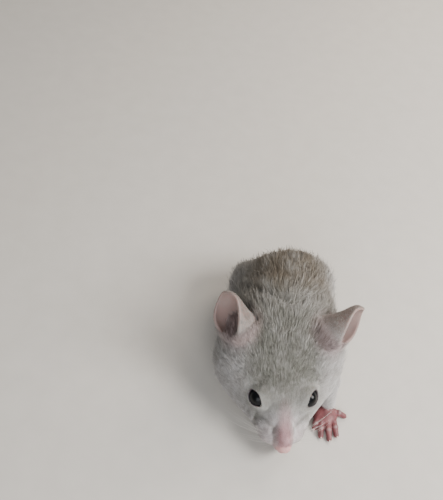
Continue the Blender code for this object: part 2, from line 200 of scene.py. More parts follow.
def smooth_min(a, b, soft):
    """The smaller of two distances, rounded where they meet."""
    share = np.clip(0.5 + 0.5 * (b - a) / soft, 0.0, 1.0)
    return b * (1.0 - share) + a * share - soft * share * (1.0 - share)


def ball_gap(P, middle, radii, turn=np.eye(3)):
    """Signed distance from an egg; the columns of turn are its own axes."""
    q = (P - middle) @ turn
    radii = np.array(radii)
    near = norm(q / radii, axis=1)
    steep = norm(q / radii**2, axis=1) + 1e-9
    return near * (near - 1.0) / steep


def rod_gap(P, start, end, start_radius, end_radius):
    """Signed distance from a round-ended tapered rod."""
    run = np.subtract(end, start)
    t = np.clip((P - start) @ run / (run @ run), 0.0, 1.0)
    return (norm(P - start - t[:, None] * run, axis=1)
            - (start_radius + (end_radius - start_radius) * t))


NEAR = 2.2  # a feature is worked out this far round itself
FAR = 9.0  # and at this distance it no longer matters


def shape_near(gap, P, spots, reach, measure, soft, cut=False):
    """Melts a feature into the skin, or cuts it out, where points lie near its spots."""
    spots = np.array(spots, float)
    near = np.all((P > spots.min(0) - reach - NEAR) & (P < spots.max(0) + reach + NEAR), axis=1)
    if near.any():
        sign = -1.0 if cut else 1.0
        gap[near] = sign * smooth_min(sign * gap[near], measure(P[near]), soft)


def add_rods(gap, P, points, radii, softs, cut=False):
    """Melts in or cuts out a chain of tapered rods, one for each softness."""
    for n, soft in enumerate(softs):
        ends, radius = points[n:n + 2], radii[n:n + 2]
        shape_near(gap, P, ends, max(radius), lambda Q: rod_gap(Q, *ends, *radius), soft, cut)


def add_ball(gap, P, middle, radii, soft, turn=np.eye(3), cut=False):
    """Melts in or cuts out an egg."""
    shape_near(gap, P, (middle,), max(radii), lambda Q: ball_gap(Q, middle, radii, turn), soft, cut)


HAUNCH = (9.4, 19.0, 7.8)  # out from the spine, y and height of the middle of each thigh
HAUNCH_RADII = (4.1, 7.4, 6.7)
HAUNCH_SOFT = 4.5  # width over which it melts into the body


def add_haunches(gap, P):
    """Melts both thighs into the body."""
    for side in (-1.0, 1.0):
        middle = (spine_x(HAUNCH[1]) + side * HAUNCH[0], HAUNCH[1], HAUNCH[2])
        add_ball(gap, P, middle, HAUNCH_RADII, HAUNCH_SOFT)


# ---- Face ----
# Short broad muzzle with full whisker pads, a bare pink nose over a split lip, and lids
# that fit close round bulging eyes. It is modelled on the skin by pressing and adding,
# the same on both sides.
def unit(vectors):
    """The same directions, at length one."""
    vectors = np.asarray(vectors, float)
    return vectors / norm(vectors, axis=-1, keepdims=True)


def square_to(vectors, axes):
    """The directions turned square to given axes, at length one."""
    return unit(vectors - axes * np.sum(vectors * axes, axis=-1, keepdims=True))


NOSE = place_of("nose")
EYE = np.array([(place_of("eye_left")[0] - place_of("eye_right")[0]) / 2.0, EYE_BACK, EYE_LEVEL])
EYE_RADIUS = (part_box("eye_left")[1][2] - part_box("eye_left")[0][2]) / 2.0 / MM
GAZE = unit((0.68, -0.50, 0.53))
LID_LONG = square_to((-0.50, -0.78, -0.28), GAZE)  # from the lids' back corner to the front
LID_SHORT = np.cross(GAZE, LID_LONG)
LID_HALF = (2.22, 1.58)  # half length and half height of the opening
LID_POINTED = 0.22  # how much lower it is at its corners
LID_LEVEL = 0.35  # height over the eye's middle from which it is open
LID_THICK = 0.32
LID_SOFT = 0.3
LID_EDGE = 0.16  # width of their dark wet edge, which has no hair
# Middle or ends, radii, and the softness with which each melts in or is cut out.
WHISKER_PAD = ((3.2, -21.6, 4.7), (2.4, 2.8, 2.4), 1.2)
CHIN = ((0.0, -23.6, 2.5), (1.9, 2.2, 1.4), 0.6)
LIDS = (EYE, [EYE_RADIUS + LID_THICK] * 3, 1.7)
NOSE_PAD = (NOSE, (1.55, 1.05, 1.2), 0.9)
NOSTRIL = ((0.82, -27.75, 5.85), (0.26, 0.5, 0.20), 0.15)
BRIDGE = (((0.0, -25.3, 6.3), (0.0, -18.5, 9.9)), (1.6, 2.3), (2.2,))
CLEFT = (((0.0, -27.95, 5.7), (0.0, -27.1, 3.6)), (0.16, 0.2), (0.25,))
MOUTH = (((0.0, -26.7, 3.5), (1.9, -25.2, 2.7), (3.8, -22.4, 2.2)), (0.22, 0.22, 0.22), (0.25, 0.25))
FURROW = ((2.1, -24.2, 0.0), (2.5, -22.6, 0.0), (6.6, -19.0, 0.0))  # seen from above
FURROW_HALF = 0.8
FURROW_DEPTH = 0.32
FURROW_LEVELS = (4.0, 6.5)  # heights over which it sets in
FACE_BACK = -8.0  # the features lie ahead of this


def lid_edge(Q):
    """How far outside the lids' opening each point is, and how high over the eye's middle."""
    q = Q - EYE
    u, v = q @ LID_LONG, q @ LID_SHORT
    pointed = LID_HALF[1] * (1.0 - LID_POINTED * np.minimum(np.abs(u / LID_HALF[0]), 1.5) ** 2)
    return (np.hypot(u / LID_HALF[0], v / pointed) - 1.0) * LID_HALF[1], q @ GAZE


def lid_opening_gap(Q):
    """Distance from the plug of space that the lids leave open over the eyeball."""
    outside, height = lid_edge(Q)
    return np.maximum(outside, LID_LEVEL - height)


def one_side(P):
    """The points of both sides brought over to the left."""
    return np.stack([np.abs(P[:, 0]), P[:, 1], P[:, 2]], 1)


def from_lids(P):
    """How far each point lies outside the opening of the nearer eye's lids."""
    outside, height = lid_edge(one_side(P))
    return np.where(height > -1.0, outside, FAR)


def off_furrows(P):
    """Distance from each stretch of the furrow beside the nose, as parts of its half width."""
    flat = one_side(P) * (1.0, 1.0, 0.0)
    return [rod_gap(flat, start, end, 0.0, 0.0) / FURROW_HALF for start, end in zip(FURROW, FURROW[1:])]


def shape_face(gap, P):
    """The features of both sides of the face, worked out on one side."""
    face = P[:, 1] < FACE_BACK
    if not face.any():
        return
    Q = one_side(P[face])
    part = gap[face]
    add_ball(part, Q, *WHISKER_PAD)
    add_rods(part, Q, *BRIDGE)
    for off in off_furrows(Q):
        part += FURROW_DEPTH * np.exp(-off**2) * eased(Q[:, 2], *FURROW_LEVELS)
    for ball in (CHIN, LIDS, NOSE_PAD):
        add_ball(part, Q, *ball)
    for rods in (CLEFT, MOUTH):
        add_rods(part, Q, *rods, cut=True)
    add_ball(part, Q, *NOSTRIL, cut=True)
    shape_near(part, Q, (EYE,), EYE_RADIUS, lid_opening_gap, LID_SOFT, cut=True)
    gap[face] = part


# ---- Ears ----
# Thin cupped leaves of skin over gristle, a tube at the foot and open forwards and out,
# nearly bare inside. The wall is 0.6 mm thick at the rim and twice that at the foot.
EARS = {  # foot, tip, direction of the opening
    "ear_right": np.array(((-10.6, -2.6, 16.6), (-15.3, 4.2, 26.8), (-0.76, -0.64, 0.10))),
    "ear_left": np.array(((11.0, -3.4, 16.8), (20.2, 1.0, 25.2), (0.55, -0.83, -0.10))),
}
EAR_WALL = (0.60, 0.31)  # half the wall's thickness at the foot and at the rim
EAR_SOFT = 1.6
EAR_HALF_WIDTH = 4.6
EAR_WIDEST = 0.45  # part of the way up, above which the leaf rounds off
EAR_POWER = 2.2  # how squarely it rounds off
EAR_FOOT = 0.8  # the foot's width as a part of the widest place's
EAR_CURL = (157.0, 45.0)  # degrees that each edge curls round, at the foot and the tip
EAR_BULGE = 1.5
EAR_END = (0.998, 1.0004)  # how near the tip the last row comes, and where the leaf would close
EAR_STANDS = (0.35, 0.10)  # how far the leaf stands out from its curl, and its waves
EAR_ROLL = 0.30  # how far the edges roll back
EAR_BLUNT = (0.35, 2.0)  # how much the tip leans back, from this radius of curl on
EAR_ROWS = 48
EAR_COLUMNS = 49


def ear_sheet(foot, tip, opening):
    """Points over the middle of the ear's wall, rows from foot to tip."""
    length = norm(tip - foot)
    axis = unit(tip - foot)
    out = square_to(opening, axis)
    side = np.cross(axis, out)
    s = np.sin(0.5 * math.pi * np.arange(EAR_ROWS) / (EAR_ROWS - 1) * EAR_END[0])[:, None]
    c = np.linspace(-1.0, 1.0, EAR_COLUMNS)[None, :]
    leaf = np.sqrt(1.0 - (np.maximum(0.0, s - EAR_WIDEST) / (EAR_END[1] - EAR_WIDEST)) ** EAR_POWER)
    half = EAR_HALF_WIDTH * leaf * (EAR_FOOT + (1.0 - EAR_FOOT) * np.sin(math.pi * np.minimum(s, 0.5)))
    curl = np.radians(np.interp(s, (0.0, 1.0), EAR_CURL))
    radius = half / np.sin(np.minimum(curl, math.pi / 2))
    reach = radius + (EAR_STANDS[0] + EAR_STANDS[1] * np.sin(9.0 * s + 4.0 * c) * s) * np.sqrt(leaf)
    roll = EAR_ROLL * np.clip(5.0 * np.abs(c) - 4.0, 0.0, 1.0) * s * eased(leaf, 0.3, 0.8)
    blunt = EAR_BLUNT[0] * (np.hypot(radius, EAR_BLUNT[1]) - radius)
    outwards = EAR_BULGE * np.sin(math.pi * s) - (
        reach * np.cos(curl * c) - radius * np.cos(curl) * 0.5 + roll + blunt)
    return (foot + axis * (length * s)[..., None] + side * (reach * np.sin(curl * c))[..., None]
            + out * outwards[..., None])


def sheet_tree(points):
    """A search tree over a grid of points taken as faces."""
    rows, columns = points.shape[:2]
    faces = [(r * columns + c, r * columns + c + 1, (r + 1) * columns + c + 1, (r + 1) * columns + c)
             for r in range(rows - 1) for c in range(columns - 1)]
    return BVHTree.FromPolygons([tuple(point) for point in points.reshape(-1, 3)], faces)


EAR_SHEETS = {name: ear_sheet(*where) for name, where in EARS.items()}
EAR_TREES = {name: sheet_tree(points) for name, points in EAR_SHEETS.items()}


def ear_gap(P, name):
    """Distance from the ear's wall, how far up each point lies, and whether in the hollow."""
    foot, tip, _ = EARS[name]
    height = np.clip((P - foot) @ (tip - foot) / ((tip - foot) @ (tip - foot)), 0.0, 1.0)
    away = np.full(len(P), FAR)
    hollow = np.zeros(len(P))
    for place, point in enumerate(P.tolist()):
        spot, facing, _, distance = EAR_TREES[name].find_nearest(point, FAR)
        if spot is not None:
            away[place] = distance
            hollow[place] = (Vector(point) - spot).dot(facing) > 0.0
    return away - np.interp(height, (0.0, 1.0), EAR_WALL), height, hollow


def from_rim(P, name):
    """Distance of each point from the ear's free edge."""
    sheet = EAR_SHEETS[name]
    edge = np.concatenate([sheet[:, 0], sheet[:, -1], sheet[-1]])
    return norm(P[:, None, :] - edge[None], axis=2).min(1)


def add_ears(gap, P):
    """Melts both ears into the skin."""
    for name, points in EAR_SHEETS.items():
        shape_near(gap, P, points.reshape(-1, 3), 0.0, lambda Q: ear_gap(Q, name)[0], EAR_SOFT)


# ---- Legs, feet and tail ----
# Short forelegs come from under the cheeks; the feet are bare and pink, with four toes and a
# short thumb in front and five toes behind, each with a knuckle and a soft pad. They are
# rods and balls of clay melted together and pressed flat on the floor.
FORELEGS = {  # elbow, middle, wrist
    "foreleg_right": ((-10.5, 1.6, 6.5), (-9.1, -1.0, 4.6), (-7.4, -3.4, 2.6)),
    "foreleg_left": ((13.0, -3.0, 6.5), (13.9, -8.0, 4.6), (13.4, -13.0, 2.6)),
}
FORELEG_RADII = (2.8, 2.3, 1.7)
FORELEG_SOFT = (1.5, 1.0)
# Feet: middle on the ground, heading in degrees from -Y towards +X, and the outer toe, as
# root outwards and ahead of that middle, turn outwards and length. Then the inner toes.
FEET = {
    "forefoot_right": ((-7.2, -5.0), -4.0, (2.3, 1.2, 30.0, 2.7)),
    "forefoot_left": ((12.7, -15.6), 2.0, (2.5, -1.0, 72.0, 2.9)),
    "hindfoot_right": ((-9.6, 15.4), -8.0, (1.3, 3.4, 32.0, 2.7)),
    "hindfoot_left": ((15.0, 16.0), 10.0, (1.3, 3.4, 32.0, 2.7)),
}
INNER_TOES = {
    "fore": ((-2.4, 1.3, -24.0, 1.8), (-1.6, 2.1, -5.0, 3.1), (0.2, 2.4, 0.0, 3.7),
             (1.9, 1.9, 6.0, 3.2)),
    "hind": ((-1.5, 3.9, -30.0, 2.4), (-0.8, 4.5, -12.0, 3.3), (0.0, 4.7, 0.0, 3.5),
             (0.8, 4.5, 12.0, 3.3)),
}
PALMS = {"fore": (3.2, 2.8, 1.6), "hind": (2.1, 5.0, 1.4)}  # half sizes of palm and sole
TOE_RADII = {"fore": (0.90, 0.84, 0.64), "hind": (0.74, 0.66, 0.50)}  # root, knuckle, tip
PALM_LEVEL = 1.15
PALM_SOFT = 0.5
WRIST_RISE = 0.7  # the bones of the palm fan out from this far over its middle
WRIST_BACK = 0.3  # and this part of its half length behind
BONE_RISE = 0.25  # of their ends over the roots of the toes
BONE_SOFT = 0.2
TOE_DROPS = (-0.1, -0.5)  # of the root below the palm's middle, and of the tip below the root
TOE_NARROWS = 0.96  # just ahead of the knuckle
KNUCKLE = (0.45, 0.2)  # part of the way along a toe, and its rise
KNUCKLE_SWELL = (1.06, 1.0, 1.04)
PAD_SWELL = (1.12, 1.3, 0.9)  # of the pad on the tip
PAD_AT = (0.0, 0.1, -0.05)  # from the middle of the tip
PAD_SOFT = 0.1
TOE_SOFT = (0.15, 0.12)  # behind and ahead of the knuckle


def turned(degrees):
    """A turn about Z, its columns the turned axes."""
    c, s = math.cos(math.radians(degrees)), math.sin(math.radians(degrees))
    return np.array([[c, -s, 0.0], [s, c, 0.0], [0.0, 0.0, 1.0]])


def palm_of(name):
    """Middle, half sizes and turn of a foot's palm or sole."""
    ground, heading, _ = FEET[name]
    return np.array([*ground, PALM_LEVEL]), PALMS[name[:4]], turned(heading)


def toes_of(name):
    """Start, knuckle, tip and aim of each toe of a foot."""
    middle, _, heading = palm_of(name)
    side = 1.0 if name.endswith("left") else -1.0
    toes = []
    for out, ahead, degrees, length in (*INNER_TOES[name[:4]], FEET[name][2]):
        aim = heading @ turned(side * degrees)
        start = middle + heading @ (side * out, -ahead, TOE_DROPS[0])
        knuckle = start + aim @ (0.0, -length * KNUCKLE[0], KNUCKLE[1])
        toes.append((start, knuckle, start + aim @ (0.0, -length, TOE_DROPS[1]), aim))
    return toes


def add_legs(gap, P):
    """Melts the forelegs and all four feet into the skin."""
    for leg in FORELEGS.values():
        add_rods(gap, P, leg, FORELEG_RADII, FORELEG_SOFT)
    for name in FEET:
        middle, palm, heading = palm_of(name)
        root, bend, end = TOE_RADII[name[:4]]
        add_ball(gap, P, middle, palm, PALM_SOFT, heading)
        wrist = middle + (0.0, 0.0, WRIST_RISE) + heading @ (0.0, palm[1] * WRIST_BACK, 0.0)
        for start, knuckle, tip, aim in toes_of(name):
            add_rods(gap, P, (wrist, start + (0.0, 0.0, BONE_RISE)), (root, root), (BONE_SOFT,))
            add_rods(gap, P, (start, knuckle), (root, bend), TOE_SOFT[:1])
            add_ball(gap, P, knuckle, bend * np.array(KNUCKLE_SWELL), PAD_SOFT, aim)
            add_rods(gap, P, (knuckle, tip), (bend * TOE_NARROWS, end), TOE_SOFT[1:])
            add_ball(gap, P, tip + aim @ PAD_AT, end * np.array(PAD_SWELL), PAD_SOFT, aim)


TAIL = [np.array((spine_x(RUMP_Y) + dx, RUMP_Y + dy, z))
        for dx, dy, z in ((-0.6, -2.5, 4.4), (0.2, 1.0, 3.4), (1.2, 4.5, 1.7))]
TAIL_RADII = (1.5, 1.1, 0.6)
TAIL_SOFT = (0.8, 0.3)


def add_tail(gap, P):
    """Melts the tail into the rump."""
    add_rods(gap, P, TAIL, TAIL_RADII, TAIL_SOFT)


FLOOR_SOFT = 0.12  # how softly skin rounds off where it meets the floor


def skin_gap(P):
    """Signed distance from the whole skin."""
    gap = body_gap(P)
    for add in (add_haunches, shape_face, add_legs, add_tail, add_ears):
        add(gap, P)
    return -smooth_min(-gap, P[:, 2], FLOOR_SOFT)


# ---- Hide ----
# The shapes above melted into one closed skin, worked finer where its features are small. It
# is bare and pink on nose, ears and feet, and everywhere else it takes the coat's colour,
# darkened by painted shade as if shadowed by the hair over it.
def slope_of(P, reach=0.04):
    """Direction in which the skin's distance grows, not scaled to length one."""
    steps = np.eye(3) * reach
    return np.stack([skin_gap(P + step) - skin_gap(P - step) for step in steps], 1) / (2.0 * reach)


SKIN_BOX = ((-20.0, -29.6, -1.2), (25.0, 36.0, 29.6))
COARSE = 1.5  # size of a cell
FINE = 4  # fine cells along each coarse one


def skin_mesh():
    """Points and four-sided faces where the skin's distance is zero."""
    low, high = np.array(SKIN_BOX)
    count = np.ceil((high - low) / COARSE).astype(int)
    fine_step = COARSE / FINE
    coarse = np.argwhere(np.ones(count))
    rough = skin_gap(low + (coarse + 0.5) * COARSE)
    values = np.kron(rough.reshape(count), np.ones([FINE] * 3))
    close = coarse[np.abs(rough) < 1.5 * COARSE]
    fine = (close[:, None] * FINE + np.argwhere(np.ones([FINE] * 3))).reshape(-1, 3)
    values[tuple(fine.T)] = skin_gap(low + fine * fine_step)
    inside = values < 0.0
    corners = np.argwhere(np.ones([2] * 3))
    size = np.array(values.shape) - 1
    votes = sum(inside[i:i + size[0], j:j + size[1], k:k + size[2]].astype(int) for i, j, k in corners)
    mixed = (votes > 0) & (votes < 8)
    cells = np.argwhere(mixed)
    index = np.full(mixed.shape, -1)
    index[mixed] = np.arange(len(cells))
    total = np.zeros((len(cells), 3))
    crossings = np.zeros(len(cells))
    for a in corners:
        for b in a + np.eye(3, dtype=int)[a == 0]:
            near, far = (values[tuple((cells + corner).T)] for corner in (a, b))
            crossed = (near < 0.0) != (far < 0.0)
            t = np.where(crossed, near / np.where(crossed, near - far, 1.0), 0.0)
            total += (a + t[:, None] * (b - a)) * crossed[:, None]
            crossings += crossed
    verts = low + (cells + total / crossings[:, None]) * fine_step
    faces = []
    for axis in range(3):
        across, up = (axis + 1) % 3, (axis + 2) % 3
        change = np.argwhere(inside != np.roll(inside, -1, axis))
        change = change[np.all(change < size, axis=1) & (change[:, across] > 0) & (change[:, up] > 0)]
        ring = []
        for step_across, step_up in ((1, 1), (0, 1), (0, 0), (1, 0)):
            step = np.zeros(3, int)
            step[across], step[up] = step_across, step_up
            ring.append(index[tuple((change - step).T)])
        ring = np.stack(ring, 1)
        faces.append(np.where(inside[tuple(change.T)][:, None], ring, ring[:, ::-1]))
    return verts, np.concatenate(faces)


def settle(verts, rounds=3):
    """Moves points onto the skin along its slope."""
    for _ in range(rounds):
        slope = slope_of(verts)
        move = slope * (skin_gap(verts) / np.maximum((slope**2).sum(1), 0.05))[:, None]
        far = norm(move, axis=1, keepdims=True)
        verts = verts - move * np.minimum(1.0, 0.25 / np.maximum(far, 1e-9))
    return verts


FINE_SPOTS = (  # places worked over twice as finely, and how far round them
    *((EYE * (side, 1.0, 1.0), EYE_RADIUS + 1.1) for side in (-1.0, 1.0)),
    (NOSE + (0.0, 0.5, -1.0), 4.4),
    (place_of("forefoot_left"), 5.6), (place_of("forefoot_right"), 4.5),
    *((0.45 * foot + 0.55 * tip, 7.3) for foot, tip, _ in EARS.values()),
)


def is_small(points):
    """Whether each point lies on a place that is worked over more finely."""
    return np.any([norm(points - spot, axis=1) < reach for spot, reach in FINE_SPOTS], axis=0)


def build_skin():
    """The skin's mesh, finer where it has small features."""
    verts, faces = skin_mesh()
    shape = bmesh.new()
    made = [shape.verts.new(vert) for vert in settle(verts)]
    for face in faces:
        shape.faces.new([made[corner] for corner in face])
    edges = set()
    middles = np.array([face.calc_center_median() for face in shape.faces])
    for face, small in zip(shape.faces, is_small(middles)):
        if small:
            edges.update(face.edges)
    bmesh.ops.subdivide_edges(shape, edges=list(edges), cuts=1, use_grid_fill=True)
    small_verts = is_small(np.array([vert.co for vert in shape.verts]))
    chosen = [vert for vert, small in zip(shape.verts, small_verts) if small]
    for _ in range(2):
        for _ in range(3):
            bmesh.ops.smooth_vert(shape, verts=chosen, factor=0.5,
                                  use_axis_x=True, use_axis_y=True, use_axis_z=True)
        for vert, place in zip(chosen, settle(np.array([vert.co for vert in chosen]), 2)):
            vert.co = place
    verts = settle(np.array([vert.co for vert in shape.verts]), 1)
    for vert, place in zip(shape.verts, (verts + ZERO) * MM):
        vert.co = place
    mesh = bpy.data.meshes.new("skin")
    shape.to_mesh(mesh)
    shape.free()
    mesh.shade_smooth()
    return mesh, verts


def add_piece(name, mesh, finish):
    """Puts a mesh in the scene on the model's one body and its material."""
    piece = bpy.data.objects.new(name, mesh)
    bpy.context.scene.collection.objects.link(piece)
    mesh.materials.append(finish)
    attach(piece, "root")
    return piece


def noise_at(P, size, seed):
    """Smooth waves of about the given size over the points, between -1 and 1."""
    draw = np.random.default_rng(seed)
    total = np.zeros(len(P))
    for _ in range(6):
        aim = draw.normal(size=3)
        aim *= 2.0 * math.pi / size / norm(aim) * draw.uniform(0.7, 1.3)
        total += np.sin(P @ aim + draw.uniform(0.0, 2.0 * math.pi))
    return total / 3.0


RIDGE_AHEAD = 1.8  # from the fold to the ridge of ruffled hair ahead of it


def ridge_share(P):
    """How near the top of the ruffled ridge each point lies."""
    return fold_depth(P[:, 0], P[:, 1] + RIDGE_AHEAD, P[:, 2]) / FOLD_DEPTH


# The coat is a pale silver-grey, ticked with beige and slate along the crown and back; over the
# back the ticking is darker and warmer, partly its own tone and partly painted shade. It is paler
# on cheeks, muzzle and belly, the skin pink through thin hair on the nose and round the ears.
# Pairs give where a mark fades in or out: as a part of the way from the widest level to the
# top line, as y, or as a distance out from the spine or from the mark's own middle.
TICKED_UP = (0.30, 0.95)
TICKED_BROW = (-21.0, -13.0)
TICKED_CROWN = (5.5, 11.0)  # half width on the head, which ends at
HEAD_END = (-2.0, -8.0)
MOTTLES = ((4.0, 8), (1.7, 5))  # size and seed of the waves that break up the ticking
NAPE = (3.0, 4.0)  # y and half length of the plainer stretch behind the head
PALE_UNDER = (0.7, -0.4)
PALE_CHEEK = ((7.0, 12.0), (-3.0, -9.0))
PALE_MUZZLE = (-18.5, -22.5)
WEDGE_LINE = ((-25.0, -22.0, -18.0, -15.5), (2.5, 2.0, 1.0, 0.5))  # y, half width of the pink
WEDGE_EDGE = (1.4, 0.3)
WEDGE_END = (-16.5, -25.5)
PINK_MUZZLE = (0.22, -20.5, -23.5)  # strength and y
PINK_EAR = (0.42, 7.5, 3.0)  # strength and distance from near the ear's foot


def markings(P):
    """How pale, how ticked and how pink the coat is at each point; the ticking also carries painted shade
    along the furrows beside the nose, and painted light where it thins on the nape's ridge.
    """
    x, y, z = P.T
    off_spine = np.abs(x - spine_x(y))
    _, widest, _, rise, _, _ = sections_at(y)
    high = np.clip((z - widest) / np.maximum(rise, 1.0), -1.0, 1.2)
    ticked = eased(high, *TICKED_UP) * eased(y, *TICKED_BROW)
    ticked *= 1.0 - eased(off_spine, *TICKED_CROWN) * eased(y, *HEAD_END)
    mottle = 0.8 + sum(0.30 * noise_at(P, size, seed) for size, seed in MOTTLES)
    # painted light: the ticking thins along the top of the ruffled ridge behind the nape, so its crest is
    # painted paler
    ticked *= np.clip(mottle, 0.1, 1.2) * (1.0 - 0.7 * ridge_share(P))
    ticked *= 1.0 - 0.35 * np.exp(-((y - NAPE[0]) / NAPE[1]) ** 2)
    # painted shade: dark ticking laid along the furrows beside the nose, where the crease would be shaded
    for off in off_furrows(P):
        ticked = np.maximum(ticked, 0.45 * np.exp(-6.0 * off**2) * eased(z, 4.0, 6.0))
    cheek = eased(off_spine, *PALE_CHEEK[0]) * eased(y, *PALE_CHEEK[1])
    pale = np.maximum(0.8 * eased(high, *PALE_UNDER), 0.55 * cheek)
    pale = np.maximum(pale, eased(y, *PALE_MUZZLE))
    wedge = off_spine / np.interp(y, *WEDGE_LINE)
    pink = eased(wedge, *WEDGE_EDGE) * eased(y, *WEDGE_END)
    pink = np.maximum(pink, PINK_MUZZLE[0] * eased(y, *PINK_MUZZLE[1:]))
    for foot, tip, _ in EARS.values():
        about = norm(P - (foot * (0.88, 1.0, 1.0) * 0.85 + tip * 0.15), axis=1)
        pink = np.maximum(pink, PINK_EAR[0] * eased(about, *PINK_EAR[1:]))
    return {"pale": pale, "ticked": ticked, "pink": pink}


def nose_share(P, fade):
    """Share of the nose's skin at each point, fading out over a distance."""
    return eased(ball_gap(P, NOSE, (1.7, 1.3, 1.4)), fade, 0.0)


ON_EAR = 0.35  # what lies this near the ear's wall belongs to the ear


def bareness(P):
    """How bare the skin is at each point: 1 on nose pad, ears and feet."""
    bare = nose_share(P, 0.7)
    for name in EARS:
        gap, height, hollow = ear_gap(P, name)
        inside = eased(height, 0.0, 0.08) * hollow
        outside = 0.9 * eased(height, 0.12, 0.70) * (1.0 - hollow)
        bare = np.maximum(bare, (gap < ON_EAR) * np.maximum(inside, outside))
    for name in FEET:
        gap = ball_gap(P, *palm_of(name))
        for start, _, tip, _ in toes_of(name):
            gap = np.minimum(gap, rod_gap(P, start, tip, 1.0, 0.8))
        bare = np.maximum(bare, eased(gap, 0.9, 0.15))
    return np.maximum(bare, eased(rod_gap(P, TAIL[1], TAIL[2], 1.2, 0.8), 0.6, 0.0))


def linear(hex_colour):
    """An sRGB hex colour as a linear colour with alpha."""
    channels = [int(hex_colour[n:n + 2], 16) / 255.0 for n in (1, 3, 5)]
    return (*[c / 12.92 if c <= 0.04045 else ((c + 0.055) / 1.055) ** 2.4 for c in channels], 1.0)


def node(tree, kind, settings=None, inputs=None):
    """Adds a node with its settings, and its inputs as values or links."""
    made = tree.nodes.new(kind)
    for key, value in (settings or {}).items():
        if key == "ramp":
            for place, colour in value[1:-1]:
                made.color_ramp.elements.new(place)
            for element, (place, colour) in zip(made.color_ramp.elements, value):
                element.position = place
                element.color = linear(colour)
        else:
            setattr(made, key, value)
    for socket, value in (inputs or {}).items():
        if isinstance(value, bpy.types.NodeSocket):
            tree.links.new(value, made.inputs[socket])
        else:
            made.inputs[socket].default_value = value
    return made


def new_material(name):
    """An empty node material, its nodes, and the place of a point on the model."""
    made = bpy.data.materials.new(name)
    made.use_nodes = True
    made.node_tree.nodes.clear()
    place = node(made.node_tree, "ShaderNodeTexCoord")
    return made, made.node_tree, place.outputs["Object"]


def surface(tree, sockets):
    """The shader that a material ends in, its sockets as values or links."""
    shader = node(tree, "ShaderNodeBsdfPrincipled", {}, sockets)
    node(tree, "ShaderNodeOutputMaterial", {}, {"Surface": shader.outputs["BSDF"]})


def laid_over(tree, colour, layers):
    """A colour with others laid over it in turn, each where an attribute of the mesh says."""
    for attribute, layer in layers:
        share = node(tree, "ShaderNodeAttribute", {"attribute_name": attribute})
        mixed = node(tree, "ShaderNodeMix", {"data_type": "RGBA"},
                     {"Factor": share.outputs["Fac"], 6: colour, 7: layer})
        colour = mixed.outputs[2]
    return colour


def multiplied(tree, colour, shades):
    """A colour darkened by others in turn."""
    for shade in shades:
        mixed = node(tree, "ShaderNodeMix", {"data_type": "RGBA", "blend_type": "MULTIPLY"},
                     {"Factor": 1.0, 6: colour, 7: shade})
        colour = mixed.outputs[2]
    return colour


def set_attributes(mesh, values):
    """Stores named values, or vectors, for each point of a mesh."""
    for name, value in values.items():
        value = np.asarray(value, np.float32)
        kind, key = ("FLOAT", "value") if value.ndim == 1 else ("FLOAT_VECTOR", "vector")
        mesh.attributes.new(name, kind, "POINT").data.foreach_set(key, value.ravel())


SILVER = "#bab9b6"
PALE = "#efedef"
TICKED = "#979891"
# darker, warmer ticking over the back: partly the back's own tone, partly painted shade
BACK_TONE_AND_SHADE = "#877e71"                # takes the place of TICKED
BACK_FROM = (2.0, 12.0)  # over this stretch of the back
FLUSHED = "#cfa6ab"


def coat_colour_group():
    """Colour of the coat from its markings, shared by skin and hair."""
    tree = bpy.data.node_groups.new("coat_markings", "ShaderNodeTree")
    tree.interface.new_socket("Color", in_out="OUTPUT", socket_type="NodeSocketColor")
    place = node(tree, "ShaderNodeTexCoord")
    axes = node(tree, "ShaderNodeSeparateXYZ", {}, {"Vector": place.outputs["Object"]})
    start, end = ((ZERO[1] + y) * MM for y in BACK_FROM)
    behind = node(tree, "ShaderNodeMapRange", {},
                  {"Value": axes.outputs["Y"], "From Min": start, "From Max": end})
    upper = node(tree, "ShaderNodeMix", {"data_type": "RGBA"},
                 {"Factor": behind.outputs["Result"], 6: linear(TICKED), 7: linear(BACK_TONE_AND_SHADE)})
    marked = laid_over(tree, linear(SILVER), (
        ("pale", linear(PALE)), ("ticked", upper.outputs[2]), ("pink", linear(FLUSHED))))
    node(tree, "NodeGroupOutput", {}, {0: marked})
    return tree


COAT_GROUP = coat_colour_group()


def skin_material():
    """Living skin: pink where bare, elsewhere the coat's colour darkened by painted shade from the hair
    over it, soft with light going in.
    """
    made, tree, place = new_material("hide_bare_and_haired")
    coat = node(tree, "ShaderNodeGroup", {"node_tree": COAT_GROUP})
    blotch = node(tree, "ShaderNodeTexNoise", {},
                  {"Vector": place, "Scale": 1.0 / (1.6 * MM), "Detail": 4.0})
    # The bare pink of feet and tail is darkened with painted shade, as if lying under the chin; gristle
    # is the ears' own colour.
    bare_pink_and_shade, gristle = (
        node(tree, "ShaderNodeValToRGB", {"ramp": ramp}, {"Fac": blotch.outputs["Fac"]}).outputs["Color"]
        for ramp in (((0.30, "#5f3437"), (0.52, "#784447"), (0.75, "#91605f")),
                     ((0.30, "#6e5855"), (0.55, "#806862"), (0.78, "#917973"))))
    # painted light on the ears: the edge is painted lighter as a highlight, and the hollow is painted
    # lighter to stand in for the light its own shade takes away
    ear = laid_over(tree, gristle, (("rim", linear("#98837e")),))
    naked = laid_over(tree, bare_pink_and_shade, (("nose", linear("#c69a98")), ("ear", ear)))
    # painted shade: the coat's colour on the skin is darkened as if the hair over it shadowed it
    shaded_under_hair = multiplied(tree, coat.outputs["Color"], (linear("#dcd9d7"),))
    colour = laid_over(tree, shaded_under_hair, (("bare", naked), ("lid", linear("#4a4244"))))
    creases = node(tree, "ShaderNodeTexVoronoi", {"feature": "DISTANCE_TO_EDGE"},
                   {"Vector": place, "Scale": 1.0 / (0.35 * MM)})
    bump = node(tree, "ShaderNodeBump", {},
                {"Height": creases.outputs["Distance"], "Distance": 0.05 * MM, "Strength": 0.35})
    surface(tree, {"Base Color": colour, "Normal": bump.outputs["Normal"], "Roughness": 0.5,
                   "Subsurface Weight": 0.25, "Subsurface Radius": (1.0, 0.35, 0.25),
                   "Subsurface Scale": 0.8 * MM})
    return made


